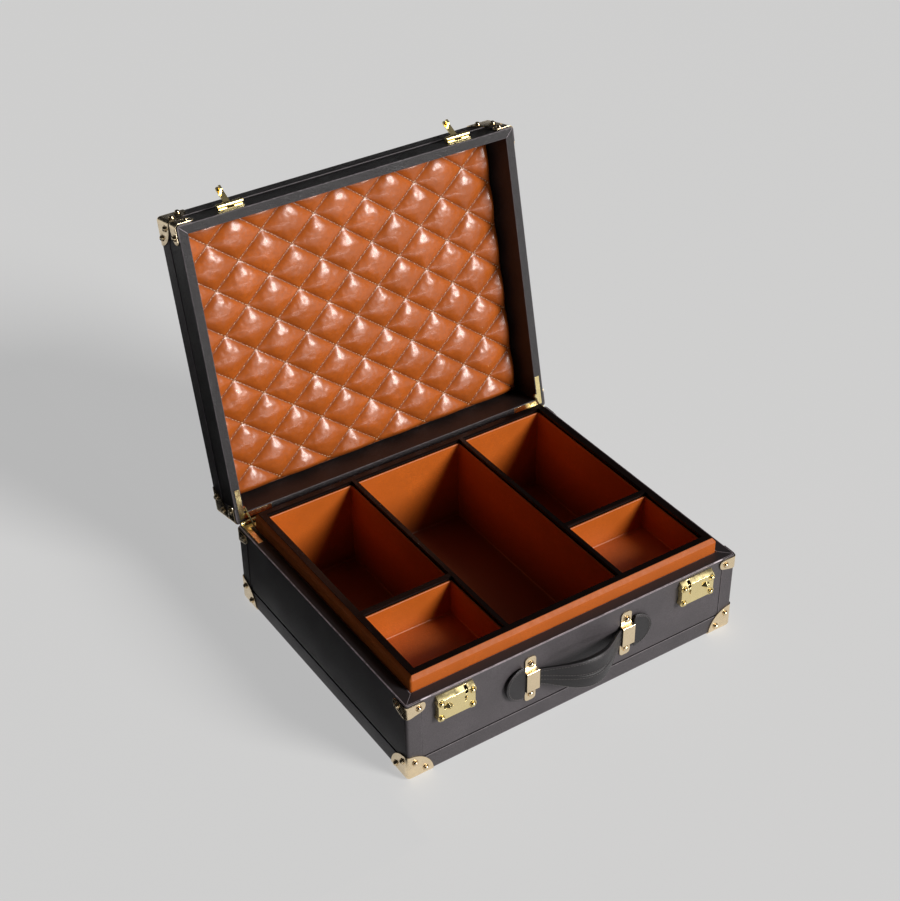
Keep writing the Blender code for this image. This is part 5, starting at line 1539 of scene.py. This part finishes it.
CAMERA_PLACE = (-0.83485, -1.20914, 1.26124)
CAMERA_TURN = (54.6247, 0.5430, -33.6275)
CAMERA_LENS = 68.7805
FLOOR_COLOUR = (0.30, 0.30, 0.30)
FLOOR_GLOW = 0.468
KEY_FROM = (0.44, -0.78, 0.46)
KEY_POWER = 3.3
SKY_POWER = 0.016
SUN_ANGLE = math.radians(20.0)
FLOOR_SIZE = 14.0
FLAG_PLACE = (-0.62, 0.35)
FLAG_HALF = 0.60
FLAG_RISE = 0.0005
FLAG_COLOURS = ((0.001,) * 3, (0.002,) * 3)
AREA_LIGHTS = (
    ("top_box", (0.9, 0.1, 2.4), (0.0, 0.0, 0.1), (1.2, 1.2), 1.0),
    ("front_box", (0.35, -1.8, 0.14), (0.0, -0.17, 0.05), (1.2, 0.2), 6.0),
)


def build_floor():
    """Pale floor that the case stands on; a faint glow of its own lightens the shadows."""
    bm = bmesh.new()
    bmesh.ops.create_grid(bm, x_segments=2, y_segments=2, size=FLOOR_SIZE / 2.0)
    mesh = bpy.data.meshes.new("stage_floor")
    bm.to_mesh(mesh)
    bm.free()
    tool = Shader("stage_paper")
    tone = tool.mix(tool.noise(3.0, 2.0), FLOOR_COLOUR, shade(FLOOR_COLOUR, 1.01))
    glow = {"Emission_Color": (1.0, 1.0, 1.0, 1.0), "Emission_Strength": FLOOR_GLOW}
    mesh.materials.append(tool.finish(tone, Roughness=0.95, Specular_IOR_Level=0.0, **glow))
    floor = bpy.data.objects.new("stage_floor", mesh)
    floor.location.z = FRAME_BOX[0][2]
    bpy.context.scene.collection.objects.link(floor)


def build_flag():
    """Black card on the left that keeps the floor's light off the case's left side."""
    bm = bmesh.new()
    low = FRAME_BOX[0]
    place = Matrix.Translation((low[0] + FLAG_PLACE[0], FLAG_PLACE[1], low[2] + FLAG_RISE))
    bmesh.ops.create_grid(bm, x_segments=1, y_segments=1, size=FLAG_HALF, matrix=place)
    mesh = bpy.data.meshes.new("stage_flag")
    bm.to_mesh(mesh)
    bm.free()
    tool = Shader("stage_black_card")
    tone = tool.mix(tool.noise(3.0, 2.0), *FLAG_COLOURS)
    mesh.materials.append(tool.finish(tone, Roughness=1.0))
    flag = bpy.data.objects.new("stage_flag", mesh)
    flag.visible_camera = False
    flag.visible_shadow = False
    bpy.context.scene.collection.objects.link(flag)


def add_area(name, place, target, size, power):
    """Soft rectangular light that faces a point."""
    light = bpy.data.lights.new(name, "AREA")
    light.shape = "RECTANGLE"
    light.size, light.size_y = size
    light.energy = power
    item = bpy.data.objects.new(name, light)
    item.location = place
    aim = Vector(target) - Vector(place)
    item.rotation_euler = aim.to_track_quat("-Z", "Y").to_euler()
    bpy.context.scene.collection.objects.link(item)


def build_lights():
    """Key sun from the front right, soft boxes above and in front, and a dim even sky."""
    sun = bpy.data.lights.new("key_sun", "SUN")
    sun.energy = KEY_POWER
    sun.angle = SUN_ANGLE
    sun.color = (1.0, 0.985, 0.96)
    item = bpy.data.objects.new("key_sun", sun)
    item.rotation_euler = (-Vector(KEY_FROM)).to_track_quat("-Z", "Y").to_euler()
    bpy.context.scene.collection.objects.link(item)
    for light in AREA_LIGHTS:
        add_area(*light)
    world = bpy.data.worlds.new("stage_sky")
    world.use_nodes = True
    world.node_tree.nodes["Background"].inputs["Color"].default_value = (0.95, 0.97, 1.0, 1.0)
    world.node_tree.nodes["Background"].inputs["Strength"].default_value = SKY_POWER
    bpy.context.scene.world = world


def build_camera():
    """Camera above the front left of the case."""
    data = bpy.data.cameras.new("stage_camera")
    data.sensor_fit = "HORIZONTAL"
    data.sensor_width = 36.0
    data.lens = CAMERA_LENS
    item = bpy.data.objects.new("stage_camera", data)
    item.location = CAMERA_PLACE
    item.rotation_euler = [math.radians(angle) for angle in CAMERA_TURN]
    bpy.context.scene.collection.objects.link(item)
    bpy.context.scene.camera = item


# ------------------------------------------------------------------ operators


MATERIALS = {}


def case_materials():
    """All finishes, made once."""
    if MATERIALS:
        return MATERIALS
    leather = bpy.context.scene.case_leather
    metal = bpy.context.scene.case_brass
    dark = tuple(leather.dark_colour)
    tan = tuple(leather.tan_colour)
    pale = tuple(metal.pale_colour)
    yellow = tuple(metal.yellow_colour)
    MATERIALS.update(
        # The case leather's folds turn near white: a painted highlight, with some wear.
        dark=dark_leather("grained_dark_leather", dark, 950.0, 0.52, 0.35, 10.0),
        binding=dark_leather("dark_binding_leather", shade(dark, 0.88), 1050.0, 0.50),
        strap=dark_leather("handle_leather", shade(dark, 0.22), 1200.0, 0.40),
        # Pale leather of the mitre ridges and of the painted highlight along the base's front edge.
        worn=dark_leather("worn_leather_fold", shade(dark, 6.5), 950.0, 0.40),
        # The lip takes the tan leather at 0.86 of its colour: painted shade.
        lip=tan_leather("tan_lip_leather", shade(tan, 0.86), 0.55, 700.0, 0.22, 0.25),
        # Near-black leather of the painted groove shade.
        cord=dark_leather("black_seam_cord", shade(dark, 0.08), 950.0, 0.50),
        # Same dark leather at 0.36 of its colour: painted shade on the lid.
        rim=dark_leather("lid_rim_leather", shade(dark, 0.36), 700.0, 0.46, 1.0),
        # The pad takes the tan leather at 0.78 of its colour: painted shade.
        quilt=quilted_leather("quilted_tan_leather", shade(tan, 0.78)),
        edging=painted_edging("divider_edging", tuple(leather.edging_colour)),
        pale=brass("pale_polished_brass", pale),
        rivet=brass("rivet_brass", shade(pale, 0.92), 0.14),
        yellow=brass("yellow_polished_brass", yellow, 0.22),
        board=fibre_board("fibre_board"),
        tan_thread=thread("tan_thread", (0.85, 0.52, 0.30)),
        dark_thread=thread("dark_thread", (0.16, 0.145, 0.14)),
        # The linings take the tan leather at 1.12 of its colour: painted light.
        lining=tan_leather("tan_compartment_leather", shade(tan, 1.12), 0.38),
        lock_rivet=brass("lock_rivet_brass", shade(yellow, 0.85), 0.13),
    )
    return MATERIALS


class CHIPCASE_OT_shells(bpy.types.Operator):
    """Build the leather shells and their binding"""

    bl_idname = "chipcase.shells"
    bl_label = "Leather shells"

    def execute(self, context):
        for name in ("base", "lid"):
            half = Half(name)
            build_shell(half, case_materials())
            build_binding(half, case_materials())
            build_mitres(half, case_materials())
        return {"FINISHED"}


class CHIPCASE_OT_interior(bpy.types.Operator):
    """Build the liner box, dividers and compartment linings"""

    bl_idname = "chipcase.interior"
    bl_label = "Fitted interior"

    def execute(self, context):
        build_liner(case_materials())
        build_divider_frame(case_materials())
        for node in sorted(frame["nodes"]):
            if node.endswith("_compartment"):
                build_tray(node, case_materials())
        return {"FINISHED"}


class CHIPCASE_OT_pad(bpy.types.Operator):
    """Build the quilted lid pad and its stitches"""

    bl_idname = "chipcase.pad"
    bl_label = "Quilted pad"

    def execute(self, context):
        build_pad(context.scene.case_quilt, case_materials())
        return {"FINISHED"}


class CHIPCASE_OT_corners(bpy.types.Operator):
    """Build the brass corner caps and rim brackets"""

    bl_idname = "chipcase.corners"
    bl_label = "Brass corners"

    def execute(self, context):
        build_corner_brass(case_materials())
        return {"FINISHED"}


class CHIPCASE_OT_fittings(bpy.types.Operator):
    """Finish the locks, hasps, hinges and keepers"""

    bl_idname = "chipcase.fittings"
    bl_label = "Brass fittings"

    def execute(self, context):
        build_fittings(case_materials())
        build_studs(case_materials())
        return {"FINISHED"}


class CHIPCASE_OT_handle(bpy.types.Operator):
    """Build the leather handle and its stitches"""

    bl_idname = "chipcase.handle"
    bl_label = "Handle"

    def execute(self, context):
        build_handle(case_materials())
        return {"FINISHED"}


class CHIPCASE_OT_stage(bpy.types.Operator):
    """Build the floor, the lights and the camera"""

    bl_idname = "chipcase.stage"
    bl_label = "Stage"

    def execute(self, context):
        build_floor()
        build_flag()
        build_lights()
        build_camera()
        context.scene.view_settings.view_transform = "Standard"
        return {"FINISHED"}


class CHIPCASE_PT_panel(bpy.types.Panel):
    """Chip case tools"""

    bl_idname = "CHIPCASE_PT_panel"
    bl_label = "Chip Case"
    bl_space_type = "VIEW_3D"
    bl_region_type = "UI"
    bl_category = "Chip Case"

    def draw(self, context):
        for group in (context.scene.case_leather, context.scene.case_quilt, context.scene.case_brass):
            for name in group.__annotations__:
                self.layout.prop(group, name)
        for operator in OPERATORS:
            self.layout.operator(operator.bl_idname)


OPERATORS = (
    CHIPCASE_OT_shells,
    CHIPCASE_OT_interior,
    CHIPCASE_OT_pad,
    CHIPCASE_OT_corners,
    CHIPCASE_OT_fittings,
    CHIPCASE_OT_handle,
    CHIPCASE_OT_stage,
)
GROUPS = (("case_leather", CaseLeather), ("case_quilt", CaseQuilt), ("case_brass", CaseBrass))


def register():
    for name, group in GROUPS:
        bpy.utils.register_class(group)
        setattr(bpy.types.Scene, name, PointerProperty(type=group))
    for operator in OPERATORS:
        bpy.utils.register_class(operator)
    bpy.utils.register_class(CHIPCASE_PT_panel)


def unregister():
    bpy.utils.unregister_class(CHIPCASE_PT_panel)
    for operator in reversed(OPERATORS):
        bpy.utils.unregister_class(operator)
    for name, group in reversed(GROUPS):
        delattr(bpy.types.Scene, name)
        bpy.utils.unregister_class(group)


def main():
    register()
    bpy.ops.chipcase.shells()
    bpy.ops.chipcase.interior()
    bpy.ops.chipcase.pad()
    bpy.ops.chipcase.corners()
    bpy.ops.chipcase.fittings()
    bpy.ops.chipcase.handle()
    bpy.ops.chipcase.stage()


if __name__ == "__main__":
    main()
